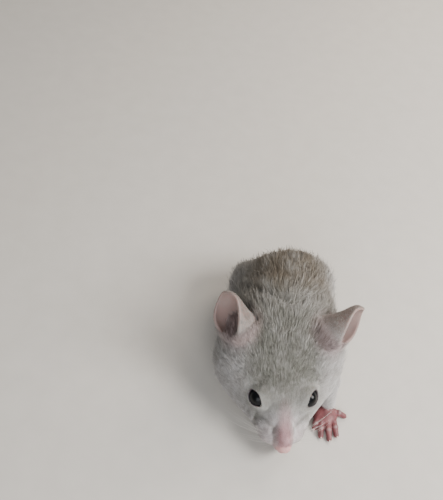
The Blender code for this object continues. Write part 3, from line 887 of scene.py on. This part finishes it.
skin_data, skin_points = build_skin()
skin = add_piece("skin", skin_data, skin_material())
skin_bare = bareness(skin_points)
ear_share, ear_light_share, ear_back = np.zeros((3, len(skin_points)))
for name in EARS:
    gap, height, hollow = ear_gap(skin_points, name)
    on_ear = gap < ON_EAR
    share = on_ear * np.maximum(eased(height, 0.02, 0.3), eased(height, 0.0, 0.05) * hollow)
    ear_share = np.maximum(ear_share, share)
    edge = eased(from_rim(skin_points[on_ear], name), 0.8, 0.35)
    # painted highlight along the ear's free edge, and painted light over its hollow
    ear_light_share[on_ear] = np.maximum(0.7 * edge, 0.9 * hollow[on_ear]) * share[on_ear]
    ear_back = np.maximum(ear_back, on_ear * eased(height, 0.10, 0.3) * (1.0 - hollow))
set_attributes(skin_data, {
    **markings(skin_points), "bare": skin_bare, "ear": ear_share, "rim": ear_light_share,
    "nose": nose_share(skin_points, 2.0),
    "lid": eased(from_lids(skin_points), 0.34, LID_EDGE),
})
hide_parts(*[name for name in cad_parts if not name.startswith("eye")])

# ---- Eyes ----
# Large dark globes with a clear wet cornea that bulges a little more than the ball. The
# iris is nearly as dark as the pupil, so the eye looks black with a slate-blue cast.
CORNEA_RISE = 0.10
CORNEA_HALF = 1.5


def eye_material():
    """Wet cornea over a slate iris and a black pupil: mirror-smooth."""
    made, tree, place = new_material("wet_dark_eye")
    axes = node(tree, "ShaderNodeSeparateXYZ", {}, {"Vector": place})
    off = node(tree, "ShaderNodeCombineXYZ", {}, {"X": axes.outputs["X"], "Y": axes.outputs["Y"]})
    ring = node(tree, "ShaderNodeVectorMath", {"operation": "LENGTH"}, {0: off.outputs["Vector"]})
    share = node(tree, "ShaderNodeMapRange", {},
                 {"Value": ring.outputs["Value"], "From Min": 0.0, "From Max": EYE_RADIUS * MM})
    shade = node(tree, "ShaderNodeValToRGB",
                 {"ramp": ((0.40, "#040506"), (0.50, "#08090c"), (0.80, "#0b0d12"), (0.95, "#050608"))},
                 {"Fac": share.outputs["Result"]})
    surface(tree, {"Base Color": shade.outputs["Color"], "Roughness": 0.3, "Specular IOR Level": 0.1,
                   "Coat Weight": 0.25, "Coat Roughness": 0.05, "Coat IOR": 1.376})
    return made


wet_eye = eye_material()
for name, side in (("eye_left", 1.0), ("eye_right", -1.0)):
    shape = bmesh.new()
    bmesh.ops.create_uvsphere(shape, u_segments=64, v_segments=48, radius=EYE_RADIUS * MM)
    for vert in shape.verts:
        off_axis = math.hypot(vert.co.x, vert.co.y) / MM
        if vert.co.z > 0.0:
            vert.co.z += CORNEA_RISE * MM * math.exp(-(off_axis / CORNEA_HALF) ** 2)
    mesh = bpy.data.meshes.new(name + "_globe")
    shape.to_mesh(mesh)
    shape.free()
    mesh.shade_smooth()
    globe = add_piece(name + "_globe", mesh, wet_eye)
    globe.rotation_euler = Vector(GAZE * (side, 1.0, 1.0)).to_track_quat("Z", "Y").to_euler()
    globe.location = Vector(node_middle(name) * MM)
    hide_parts(name)

# ---- Claws ----
# One small horn claw on each toe, curved down to the floor and sharp. Each grows out of the
# end of its toe, so it is a tapered tube with its root set into the toe's tip.
CLAW_LENGTH = 1.0
CLAW_RADIUS = 0.21
CLAW_ROOT = (0.0, -0.25, 0.16)  # from the middle of the toe's tip
CLAW_ARCH = 0.12
CLAW_DROP = 0.42
CLAW_FLOOR = 0.06  # the lowest that its middle line comes


def tube_shape(path, radii, sides):
    """Points and faces of a closed tapered tube through a path, ending in a point."""
    run = unit(np.gradient(path, axis=0))
    side = unit(np.cross(run, (0.0, 0.0, 1.0)) + (1e-6, 0.0, 0.0))
    up = np.cross(side, run)
    turn = (np.arange(sides) * 2.0 * math.pi / sides)[None, :, None]
    ring = np.cos(turn) * side[:-1, None] + np.sin(turn) * up[:-1, None]
    rings = path[:-1, None] + radii[:-1, None, None] * ring
    verts = np.concatenate([rings.reshape(-1, 3), path[-1:]])
    last = (len(path) - 2) * sides
    faces = [tuple(range(sides))[::-1]]
    for column in range(sides):
        beside = (column + 1) % sides
        faces += [(row + column, row + beside, row + sides + beside, row + sides + column)
                  for row in range(0, last, sides)]
        faces.append((last + column, last + beside, len(verts) - 1))
    return verts, faces


def joined_mesh(name, shapes):
    """One mesh of several shapes."""
    verts, faces = [], []
    for some_verts, some_faces in shapes:
        start = sum(len(part) for part in verts)
        faces += [tuple(corner + start for corner in face) for face in some_faces]
        verts.append(some_verts)
    mesh = bpy.data.meshes.new(name)
    mesh.from_pydata(((np.concatenate(verts) + ZERO) * MM).tolist(), [], faces)
    mesh.shade_smooth()
    return mesh


def mottled_material(name, grain, dark, pale, sockets):
    """A finish that wavers between two near colours, in grains of a size in millimetres."""
    made, tree, place = new_material(name)
    mottle = node(tree, "ShaderNodeTexNoise", {}, {"Vector": place, "Scale": 1.0 / (grain * MM)})
    shade = node(tree, "ShaderNodeValToRGB", {"ramp": ((0.3, dark), (0.7, pale))},
                 {"Fac": mottle.outputs["Fac"]})
    surface(tree, {"Base Color": shade.outputs["Color"], **sockets})
    return made


# Claw horn is keratin, smooth and faintly glossy, pale with a blush of the toe under it.
horn = mottled_material("claw_keratin", 0.3, "#c9a9a0", "#e6d5cb", {"Roughness": 0.3, "IOR": 1.54})
for name in FEET:
    claws = []
    for _, _, tip, aim in toes_of(name):
        t = np.linspace(0.0, 1.0, 7)
        path = tip + aim @ CLAW_ROOT + t[:, None] * CLAW_LENGTH * (aim @ (0.0, -1.0, 0.0))
        path[:, 2] += CLAW_ARCH * np.sin(math.pi * t) - CLAW_DROP * t**2
        path[:, 2] = np.maximum(path[:, 2], CLAW_FLOOR)
        claws.append(tube_shape(path, CLAW_RADIUS * (1.0 - t**1.5 * 0.9), 8))
    add_piece("claws_" + name, joined_mesh("claws_" + name, claws), horn)

# ---- Whiskers ----
# Stiff tapered hairs in four rows on each pad, the longest at the back, sweeping out and
# back. On a pup they are fine and short.
WHISKER_ROWS = 4
WHISKERS_IN_ROW = 4
WHISKER_RADIUS = 0.026
# The first root and its direction, what they change by to the back, and to the lowest row.
WHISKER_ROOT = np.array(((2.6, -24.6, 6.4), (2.7, 3.0, 0.0), (0.0, 0.0, -2.6)))
WHISKER_AIM = np.array(((1.0, -0.35, 0.35), (0.5, 0.95, 0.0), (0.0, 0.0, -0.75)))
WHISKER_LENGTH = (4.0, 6.5)  # at the front, and how much longer at the back
WHISKER_SWEEP = (0.0, 0.30, -0.22)  # how far the tip bends, as parts of the length

# A whisker's keratin is smooth, pale and a little glossy.
whisker_finish = mottled_material("whisker_keratin", 1.0, "#d5d0ca", "#f0ece6", {"Roughness": 0.35})
draw = np.random.default_rng(11)
for side_name, side in (("left", 1.0), ("right", -1.0)):
    hairs = []
    for down in np.linspace(0.0, 1.0, WHISKER_ROWS):
        for back in np.linspace(0.0, 1.0, WHISKERS_IN_ROW):
            root, aim = (np.array((1.0, back, down)) @ ways * (side, 1.0, 1.0)
                         for ways in (WHISKER_ROOT, WHISKER_AIM))
            root = settle(root[None], 4)[0]
            aim = unit(aim + draw.normal(0.0, 0.10, 3))
            length = (WHISKER_LENGTH[0] + WHISKER_LENGTH[1] * back) * draw.uniform(0.85, 1.1)
            t = np.linspace(0.0, 1.0, 12)[:, None]
            path = root - aim * 0.3 + aim * length * t + np.array(WHISKER_SWEEP) * length * t**2
            path[:, 2] = np.maximum(path[:, 2], 0.1)
            hairs.append(tube_shape(path, WHISKER_RADIUS * (1.0 - 0.85 * t[:, 0]), 5))
    name = "whiskers_" + side_name
    add_piece(name, joined_mesh(name, hairs), whisker_finish)

# ---- Coat ----
# Dense soft hair lying back from the nose and down the sides: about a millimetre on the
# muzzle, four on the back, ruffled at the nape. Each lock is a thin closed blade, set at
# its root in the skin, and neighbours draw together at their tips.
LENGTH_LINE = (  # length of the hair from nose to rump
    (NOSE_Y, 0.5), (-24.0, 0.8), (-20.0, 1.2), (-16.0, 1.7), (-10.0, 2.4), (-4.0, 3.1),
    (6.0, 3.9), (RUMP_Y, 4.3))
WIDTH_LINE = ((NOSE_Y, 0.07), (-20.0, 0.08), (-10.0, 0.105), (0.0, 0.12), (RUMP_Y, 0.125))
DENSITY_LINE = (  # locks on each square millimetre
    (NOSE_Y, 52.0), (-20.0, 44.0), (-12.0, 31.0), (-4.0, 21.0), (6.0, 17.0), (RUMP_Y, 15.0))
RISE_LINE = ((NOSE_Y, 15.0), (-16.0, 18.0), (-6.0, 25.0), (RUMP_Y, 30.0))  # degrees at the root
TIP_DROP = 7.0  # degrees below the skin's slope that the tip points
BELLY_SHORT = (0.35, 9.0, 1.0)  # how much shorter it grows underneath, and over which heights
LID_SHARE = (0.22, 0.35)  # share of the length at the lids, and its growth for each mm
RUFFLE = (0.5, 5.0, 4.0)  # strength, y and half length of the ruffle over the nape
RUFFLE_TURNS = 16.0  # degrees that locks turn about in it,
RUFFLE_RISE = 12.0  # and stand up more
GUARDS = 0.07  # part of the locks that are longer and stand up more,
GUARD_FROM = (-15.0, -7.0)  # behind the face
GUARD_LONGER = 0.35
GUARD_RISE = 16.0
LEADERS = 0.08  # part of the locks that others lean towards
PULL = 0.20  # and how far over they lean
EAR_HAIR = (0.7, 0.06, 14.0)  # length, width and density of the hair on the ears' backs
ROOT_DEPTH = 0.04  # how deep a lock is set, as a part of its length
LOCK_FLOOR = 0.04  # the lowest that a lock's middle line comes
PATCH = 0.003  # size of a lock's patch on the map of the skin
FULL_RINGS = 6  # steps along a lock's path before it is thinned for its band
LIE_FROM = (0.0, 2.0, 1.5)  # behind and over the nose, where the hair of the face starts from
LIE_BODY = (0.12, 1.0, -0.30)  # how hair lies on the body, before it turns out to the sides
LIE_OUT = 0.16
LIE_NECK = (-14.0, 2.0)  # the one passes into the other over this stretch
LIE_EAR = (1.5, 8.0, 4.0)  # strength and reach with which it turns up along the ears
LIE_EYE = (0.25, 1.6)  # and round the eyes
LIE_WAVES = (0.20, 6.0)  # strength and size of the waves in it
MUZZLE_POLE = np.array((0.0, -18.0, 6.0))  # past these the map of the skin is rounded off
RUMP_POLE = np.array((spine_x(20.0), 20.0, 9.0))


def skin_samples(draw):
    """Points scattered over the skin as densely as the coat is, with its normals there."""
    skin_data.calc_loop_triangles()
    corners = np.empty((len(skin_data.loop_triangles), 3), np.int32)
    skin_data.loop_triangles.foreach_get("vertices", corners.ravel())
    normals = np.empty((len(skin_data.vertices), 3))
    skin_data.vertices.foreach_get("normal", normals.ravel())
    a, b, c = (skin_points[corners[:, n]] for n in range(3))
    area = norm(np.cross(b - a, c - a), axis=1) / 2.0
    wanted = area * coat_density((a + b + c) / 3.0, corners)
    count = np.floor(wanted + draw.random(len(wanted))).astype(int)
    which = np.repeat(np.arange(len(count)), count)
    u, v = draw.random((2, len(which)))
    over = u + v > 1.0
    u[over], v[over] = 1.0 - u[over], 1.0 - v[over]
    corner = corners[which]
    spots, facing = (
        sum(share[:, None] * values[corner[:, n]] for n, share in enumerate((1.0 - u - v, u, v)))
        for values in (skin_points, normals))
    return spots, unit(facing)


def coat_density(P, corners):
    """Locks on each square millimetre, at points on faces of the skin."""
    density = line_value(DENSITY_LINE, P[:, 1]) * eased(skin_bare[corners].max(1), 0.7, 0.25)
    density = np.maximum(density, EAR_HAIR[2] * (ear_back[corners].min(1) > 0.5))
    under = (P[:, 2] < 0.5) & (P[:, 1] > -14.0)
    return np.where(under, 0.0, density * (from_lids(P) > LID_EDGE))


def lie_of(P, N):
    """The way the hair lies: back from the nose, down the sides and round the eyes."""
    x, y, _ = P.T
    lie = unit(P - (NOSE + LIE_FROM))
    body = np.tile(LIE_BODY, (len(P), 1))
    body[:, 0] += LIE_OUT * np.tanh((x - spine_x(y)) / 6.0)
    share = eased(y, *LIE_NECK)[:, None]
    lie = lie * (1.0 - share) + body * share
    for foot, tip, _ in EARS.values():
        axis = unit(tip - foot)
        away = norm(P - foot - 2.0 * axis, axis=1)
        lie = lie + LIE_EAR[0] * axis * eased(away, *LIE_EAR[1:])[:, None]
    lie = lie + LIE_WAVES[0] * np.stack([noise_at(P, LIE_WAVES[1], seed) for seed in (3, 4, 5)], 1)
    for side in (-1.0, 1.0):
        inwards = EYE * (side, 1.0, 1.0) - P
        away = norm(inwards, axis=1, keepdims=True)
        inwards /= away
        onto = np.maximum((lie * inwards).sum(1, keepdims=True), 0.0) + LIE_EYE[0]
        lie = lie - inwards * onto * np.exp(-((away - EYE_RADIUS) / LIE_EYE[1]) ** 2)
    return square_to(lie, N)


def lay_locks(roots, normals, lie, length, rise, draw):
    """Points along each lock, an array of locks by steps, neighbours drawn together."""
    s = np.linspace(0.0, 1.0, FULL_RINGS + 1)
    lift = np.radians(rise[:, None] * (1.0 - s) - TIP_DROP * s)[:, :-1]
    step = (length / FULL_RINGS)[:, None]
    forward, upward = (np.pad(np.cumsum(part * step, 1), ((0, 0), (1, 0)))[..., None]
                       for part in (np.cos(lift), np.sin(lift)))
    path = ((roots - ROOT_DEPTH * length[:, None] * normals)[:, None] + forward * lie[:, None]
            + upward * normals[:, None])
    leaders = np.flatnonzero(draw.random(len(roots)) < LEADERS)
    tree = KDTree(len(leaders))
    for place, index in enumerate(leaders):
        tree.insert(roots[index], place)
    tree.balance()
    nearest = leaders[[tree.find(root)[1] for root in roots.tolist()]]
    pull = np.clip(draw.normal(PULL, 0.12, len(roots)), 0.0, 0.8)
    path = path + (path[nearest] - path) * (s**1.6)[None, :, None] * pull[:, None, None]
    path[..., 2] = np.maximum(path[..., 2], LOCK_FLOOR)
    return path


def lock_mesh(name, path, normals, width, unwrap, marks):
    """A joined mesh of closed three-sided blades along the given paths."""
    locks, rings = path.shape[0], path.shape[1] - 1
    run = unit(np.gradient(path, axis=1))
    across = unit(np.cross(run, normals[:, None]))
    up = np.cross(across, run)[:, :-1]
    across = across[:, :-1]
    s = np.linspace(0.0, 1.0, rings + 1)[:-1]
    breadth = (0.75 + 0.8 * s - 1.15 * s**2)[None, :, None] * width[:, None, None] / 2.0
    base = path[:, :-1]
    ring = np.stack([base + across * breadth, base + up * breadth * 0.7, base - across * breadth], 2)
    verts = np.concatenate([ring.reshape(locks, -1, 3), path[:, -1:]], 1)
    per_lock = rings * 3 + 1
    last = per_lock - 4
    faces = [(0, 2, 1)]
    for row in range(0, last, 3):
        for a, b in ((row, row + 1), (row + 1, row + 2), (row + 2, row)):
            faces += [(a, b, b + 3), (a, b + 3, a + 3)]
    faces += [(last + side, last + (side + 1) % 3, per_lock - 1) for side in range(3)]
    corners = (np.array(faces) + np.arange(locks)[:, None, None] * per_lock).reshape(-1, 3)
    mesh = bpy.data.meshes.new(name)
    mesh.vertices.add(locks * per_lock)
    mesh.vertices.foreach_set("co", ((verts.reshape(-1, 3) + ZERO) * MM).astype(np.float32).ravel())
    mesh.loops.add(len(corners) * 3)
    mesh.loops.foreach_set("vertex_index", corners.astype(np.int32).ravel())
    mesh.polygons.add(len(corners))
    mesh.polygons.foreach_set("loop_start", np.arange(0, len(corners) * 3, 3, dtype=np.int32))
    mesh.update(calc_edges=True)
    mesh.shade_smooth()
    along = np.append(np.repeat(s, 3), 1.0)
    set_attributes(mesh, {
        "along": np.tile(along, locks), "outwards": np.repeat(normals, per_lock, 0),
        **{mark: np.repeat(value, per_lock) for mark, value in marks.items()},
    })
    low, high = unwrap.min(0), unwrap.max(0)
    places = np.clip(0.01 + 0.98 * (unwrap - low) / (high - low), PATCH, 1.0 - PATCH)
    step_across = np.append(np.tile([-0.5, 0.0, 0.5], rings), 0.0)
    shift = np.stack([step_across + 0.2 * (along - 0.5), along - 0.5], 1) * PATCH
    spots = (places[:, None] + shift).reshape(-1, 2)
    layer = mesh.uv_layers.new(name="OFBake")
    layer.uv.foreach_set("vector", spots[corners.ravel()].astype(np.float32).ravel())
    return mesh


def coat_material():
    """Soft hair: matt keratin, darker at the root, dark at some tips with the coat's ticking and with
    painted shade along the furrows beside the nose.
    """
    made, tree, place = new_material("pup_hair")
    coat = node(tree, "ShaderNodeGroup", {"node_tree": COAT_GROUP})
    along, chance, ticked, outwards = (
        node(tree, "ShaderNodeAttribute", {"attribute_name": name})
        for name in ("along", "chance", "ticked", "outwards"))
    shaft = node(tree, "ShaderNodeValToRGB",
                 {"ramp": ((0.0, "#cfccc9"), (0.35, "#eeecea"), (1.0, "#ffffff"))},
                 {"Fac": along.outputs["Fac"]})
    wave = node(tree, "ShaderNodeTexNoise", {},
                {"Vector": place, "Scale": 1.0 / (2.2 * MM), "Detail": 2.0})
    drift = node(tree, "ShaderNodeMath", {"operation": "MULTIPLY_ADD"},
                 {0: chance.outputs["Fac"], 1: 0.55, 2: wave.outputs["Fac"]})
    vary = node(tree, "ShaderNodeValToRGB",
                {"ramp": ((0.30, "#c3c0bd"), (0.70, "#e9e8e6"), (1.0, "#ffffff"))},
                {"Fac": drift.outputs[0]})
    varied = multiplied(tree, coat.outputs["Color"], (shaft.outputs["Color"], vary.outputs["Color"]))
    tip_ticking_and_shade = ticked.outputs["Fac"]
    for value, low, high in ((chance, 0.82, 0.96), (along, 0.25, 0.6)):
        share = node(tree, "ShaderNodeMapRange", {},
                     {"Value": value.outputs["Fac"], "From Min": low, "From Max": high})
        product = node(tree, "ShaderNodeMath", {"operation": "MULTIPLY"},
                       {0: share.outputs["Result"], 1: tip_ticking_and_shade})
        tip_ticking_and_shade = product.outputs[0]
    colour = node(tree, "ShaderNodeMix", {"data_type": "RGBA"},
                  {"Factor": tip_ticking_and_shade, 6: varied, 7: linear("#5c5750")})
    own = node(tree, "ShaderNodeNewGeometry")
    plush = node(tree, "ShaderNodeMix", {"data_type": "VECTOR"},
                 {"Factor": 0.6, 4: own.outputs["Normal"], 5: outwards.outputs["Vector"]})
    even = node(tree, "ShaderNodeVectorMath", {"operation": "NORMALIZE"}, {0: plush.outputs[1]})
    surface(tree, {"Base Color": colour.outputs[2], "Normal": even.outputs["Vector"],
                   "Roughness": 0.75, "Specular IOR Level": 0.15})
    return made


def unwrap_of(P):
    """Place of each root on the skin laid flat: turn about the body, and way along it."""
    spine, widest = sections_at(P[:, 1])[:2]
    turn = np.arctan2(P[:, 0] - spine, P[:, 2] - widest)
    way = P[:, 1].copy()
    for pole, end in ((MUZZLE_POLE, -1.0), (RUMP_POLE, 1.0)):
        past = (P[:, 1] - pole[1]) * end > 0.0
        way[past] = pole[1] + end * norm(P[past] - pole, axis=1)
    return np.stack([turn, way], 1)


draw = np.random.default_rng(5)
roots, normals = skin_samples(draw)
locks = len(roots)
ruffle = RUFFLE[0] * np.exp(-((roots[:, 1] - RUFFLE[1]) / RUFFLE[2]) ** 2)
ruffle = ruffle * eased(roots[:, 2], 14.0, 20.0) + ridge_share(roots)
jitter = np.radians(draw.normal(0.0, 9.0, locks) + ruffle * draw.normal(0.0, RUFFLE_TURNS, locks))
lie = lie_of(roots, normals)
lie = lie * np.cos(jitter)[:, None] + np.cross(normals, lie) * np.sin(jitter)[:, None]
by_lids = np.clip(LID_SHARE[0] + LID_SHARE[1] * from_lids(roots), 0.25, 1.0)
length = line_value(LENGTH_LINE, roots[:, 1]) * draw.uniform(0.75, 1.15, locks) * by_lids
length *= 1.0 - BELLY_SHORT[0] * eased(roots[:, 2], *BELLY_SHORT[1:])
rise = line_value(RISE_LINE, roots[:, 1]) * draw.uniform(0.6, 1.4, locks) + RUFFLE_RISE * ruffle
rise *= np.sqrt(by_lids)
guard = (draw.random(locks) < GUARDS) * eased(roots[:, 1], *GUARD_FROM)
length *= 1.0 + GUARD_LONGER * guard
rise += GUARD_RISE * guard
width = line_value(WIDTH_LINE, roots[:, 1]) * draw.uniform(0.75, 1.25, locks)
marks = markings(roots)
for name in EARS:
    gap, height, _ = ear_gap(roots, name)
    on_ear = eased(height, 0.05, 0.35) * (gap < 0.5)
    length += on_ear * (EAR_HAIR[0] * draw.uniform(0.8, 1.1, locks) - length)
    width += on_ear * (EAR_HAIR[1] - width)
    rise *= 1.0 - 0.6 * on_ear
    marks["pale"] *= 1.0 - on_ear
    marks["ticked"] *= 1.0 - 0.6 * on_ear
marks["chance"] = draw.random(locks)
unwrap = unwrap_of(roots)
paths = lay_locks(roots, normals, lie, length, rise, draw)
hair = coat_material()

# The coat is cut into bands, and the face, where locks are short, keeps fewer steps in each.
BANDS = (("muzzle", -40.0, 3), ("brow", -19.0, 3), ("crown", -12.5, 2), ("neck", -5.0, 2),
         ("shoulder", 3.0, 2), ("loin", 10.0, 2), ("rump", 18.0, 2), ("", 60.0, 0))
on_left = roots[:, 0] > spine_x(roots[:, 1])
for (band, front, stride), (_, behind, _) in zip(BANDS, BANDS[1:]):
    for side_name, chosen in (("left", on_left), ("right", ~on_left)):
        chosen = chosen & (roots[:, 1] >= front) & (roots[:, 1] < behind)
        name = "coat_" + band + "_" + side_name
        mesh = lock_mesh(name, paths[chosen][:, ::stride], normals[chosen], width[chosen],
                         unwrap[chosen], {mark: value[chosen] for mark, value in marks.items()})
        add_piece(name, mesh, hair)

# ---- Floor, light and camera ----
# A pale matt table top under three soft lamps: the main one high on the animal's left, a
# weaker one ahead and one behind. The camera looks down over the nose.
FLOOR_HALF = 600.0
# Painted board is matt, with a faint mottle left by the brush.
board = mottled_material("matt_painted_board", 6.0, "#c9c5be", "#cdc9c2", {"Roughness": 0.8})
floor_mesh = bpy.data.meshes.new("table_top")
floor_corners = [(x * FLOOR_HALF * MM, y * FLOOR_HALF * MM, 0.0)
                 for x, y in ((-1.0, -1.0), (1.0, -1.0), (1.0, 1.0), (-1.0, 1.0))]
floor_mesh.from_pydata(floor_corners, [], [(0, 1, 2, 3)])
floor_mesh.materials.append(board)
floor = bpy.data.objects.new("table_top", floor_mesh)
bpy.context.scene.collection.objects.link(floor)

LAMPS = (  # place, width, power and colour
    ("key_lamp", (225.0, -85.0, 215.0), 160.0, 1.75, "#fbf8f4"),
    ("fill_lamp", (-40.0, -265.0, 150.0), 240.0, 0.7, "#f1f2f4"),
    ("back_lamp", (180.0, 210.0, 200.0), 180.0, 0.75, "#fff2e4"),
)
LAMPS_AIM = (0.0, 0.0, 12.0)
for name, place, size, power, colour in LAMPS:
    light = bpy.data.lights.new(name, "AREA")
    light.size = size * MM
    light.energy = power
    light.color = linear(colour)[:3]
    lamp = bpy.data.objects.new(name, light)
    lamp.location = Vector(place) * MM
    aim = Vector((ZERO + LAMPS_AIM) * MM) - lamp.location
    lamp.rotation_euler = aim.to_track_quat("-Z", "Y").to_euler()
    bpy.context.scene.collection.objects.link(lamp)
world = bpy.data.worlds.new("studio")
world.use_nodes = True
world.node_tree.nodes["Background"].inputs["Color"].default_value = linear("#e6e6e6")
world.node_tree.nodes["Background"].inputs["Strength"].default_value = 0.35
bpy.context.scene.world = world

VIEW_TURN = -8.0  # degrees about Z from straight ahead of the nose
VIEW_HEIGHT = 50.0  # degrees above the floor
VIEW_ROLL = 7.75
VIEW_AT = (-13.81, 29.77, 13.0)  # the point at the middle of the view
VIEW_AWAY = 200.0
VIEW_LENS = 50.4  # focal length, on a sensor this wide
VIEW_SENSOR = 36.0
turn, height, roll = (math.radians(degrees) for degrees in (VIEW_TURN, VIEW_HEIGHT, VIEW_ROLL))
behind = Vector((math.sin(turn) * math.cos(height), -math.cos(turn) * math.cos(height), math.sin(height)))
level = Vector((math.cos(turn), math.sin(turn), 0.0))
upright = behind.cross(level)
right = math.cos(roll) * level + math.sin(roll) * upright
top = math.cos(roll) * upright - math.sin(roll) * level
pose = Matrix((right, top, behind)).transposed().to_4x4()
pose.translation = (Vector(ZERO) + Vector(VIEW_AT) + behind * VIEW_AWAY) * MM
camera_data = bpy.data.cameras.new("camera")
camera_data.sensor_width = VIEW_SENSOR
camera_data.lens = VIEW_LENS
camera_data.clip_start = 0.01
camera = bpy.data.objects.new("camera", camera_data)
camera.matrix_world = pose
bpy.context.scene.collection.objects.link(camera)
bpy.context.scene.camera = camera
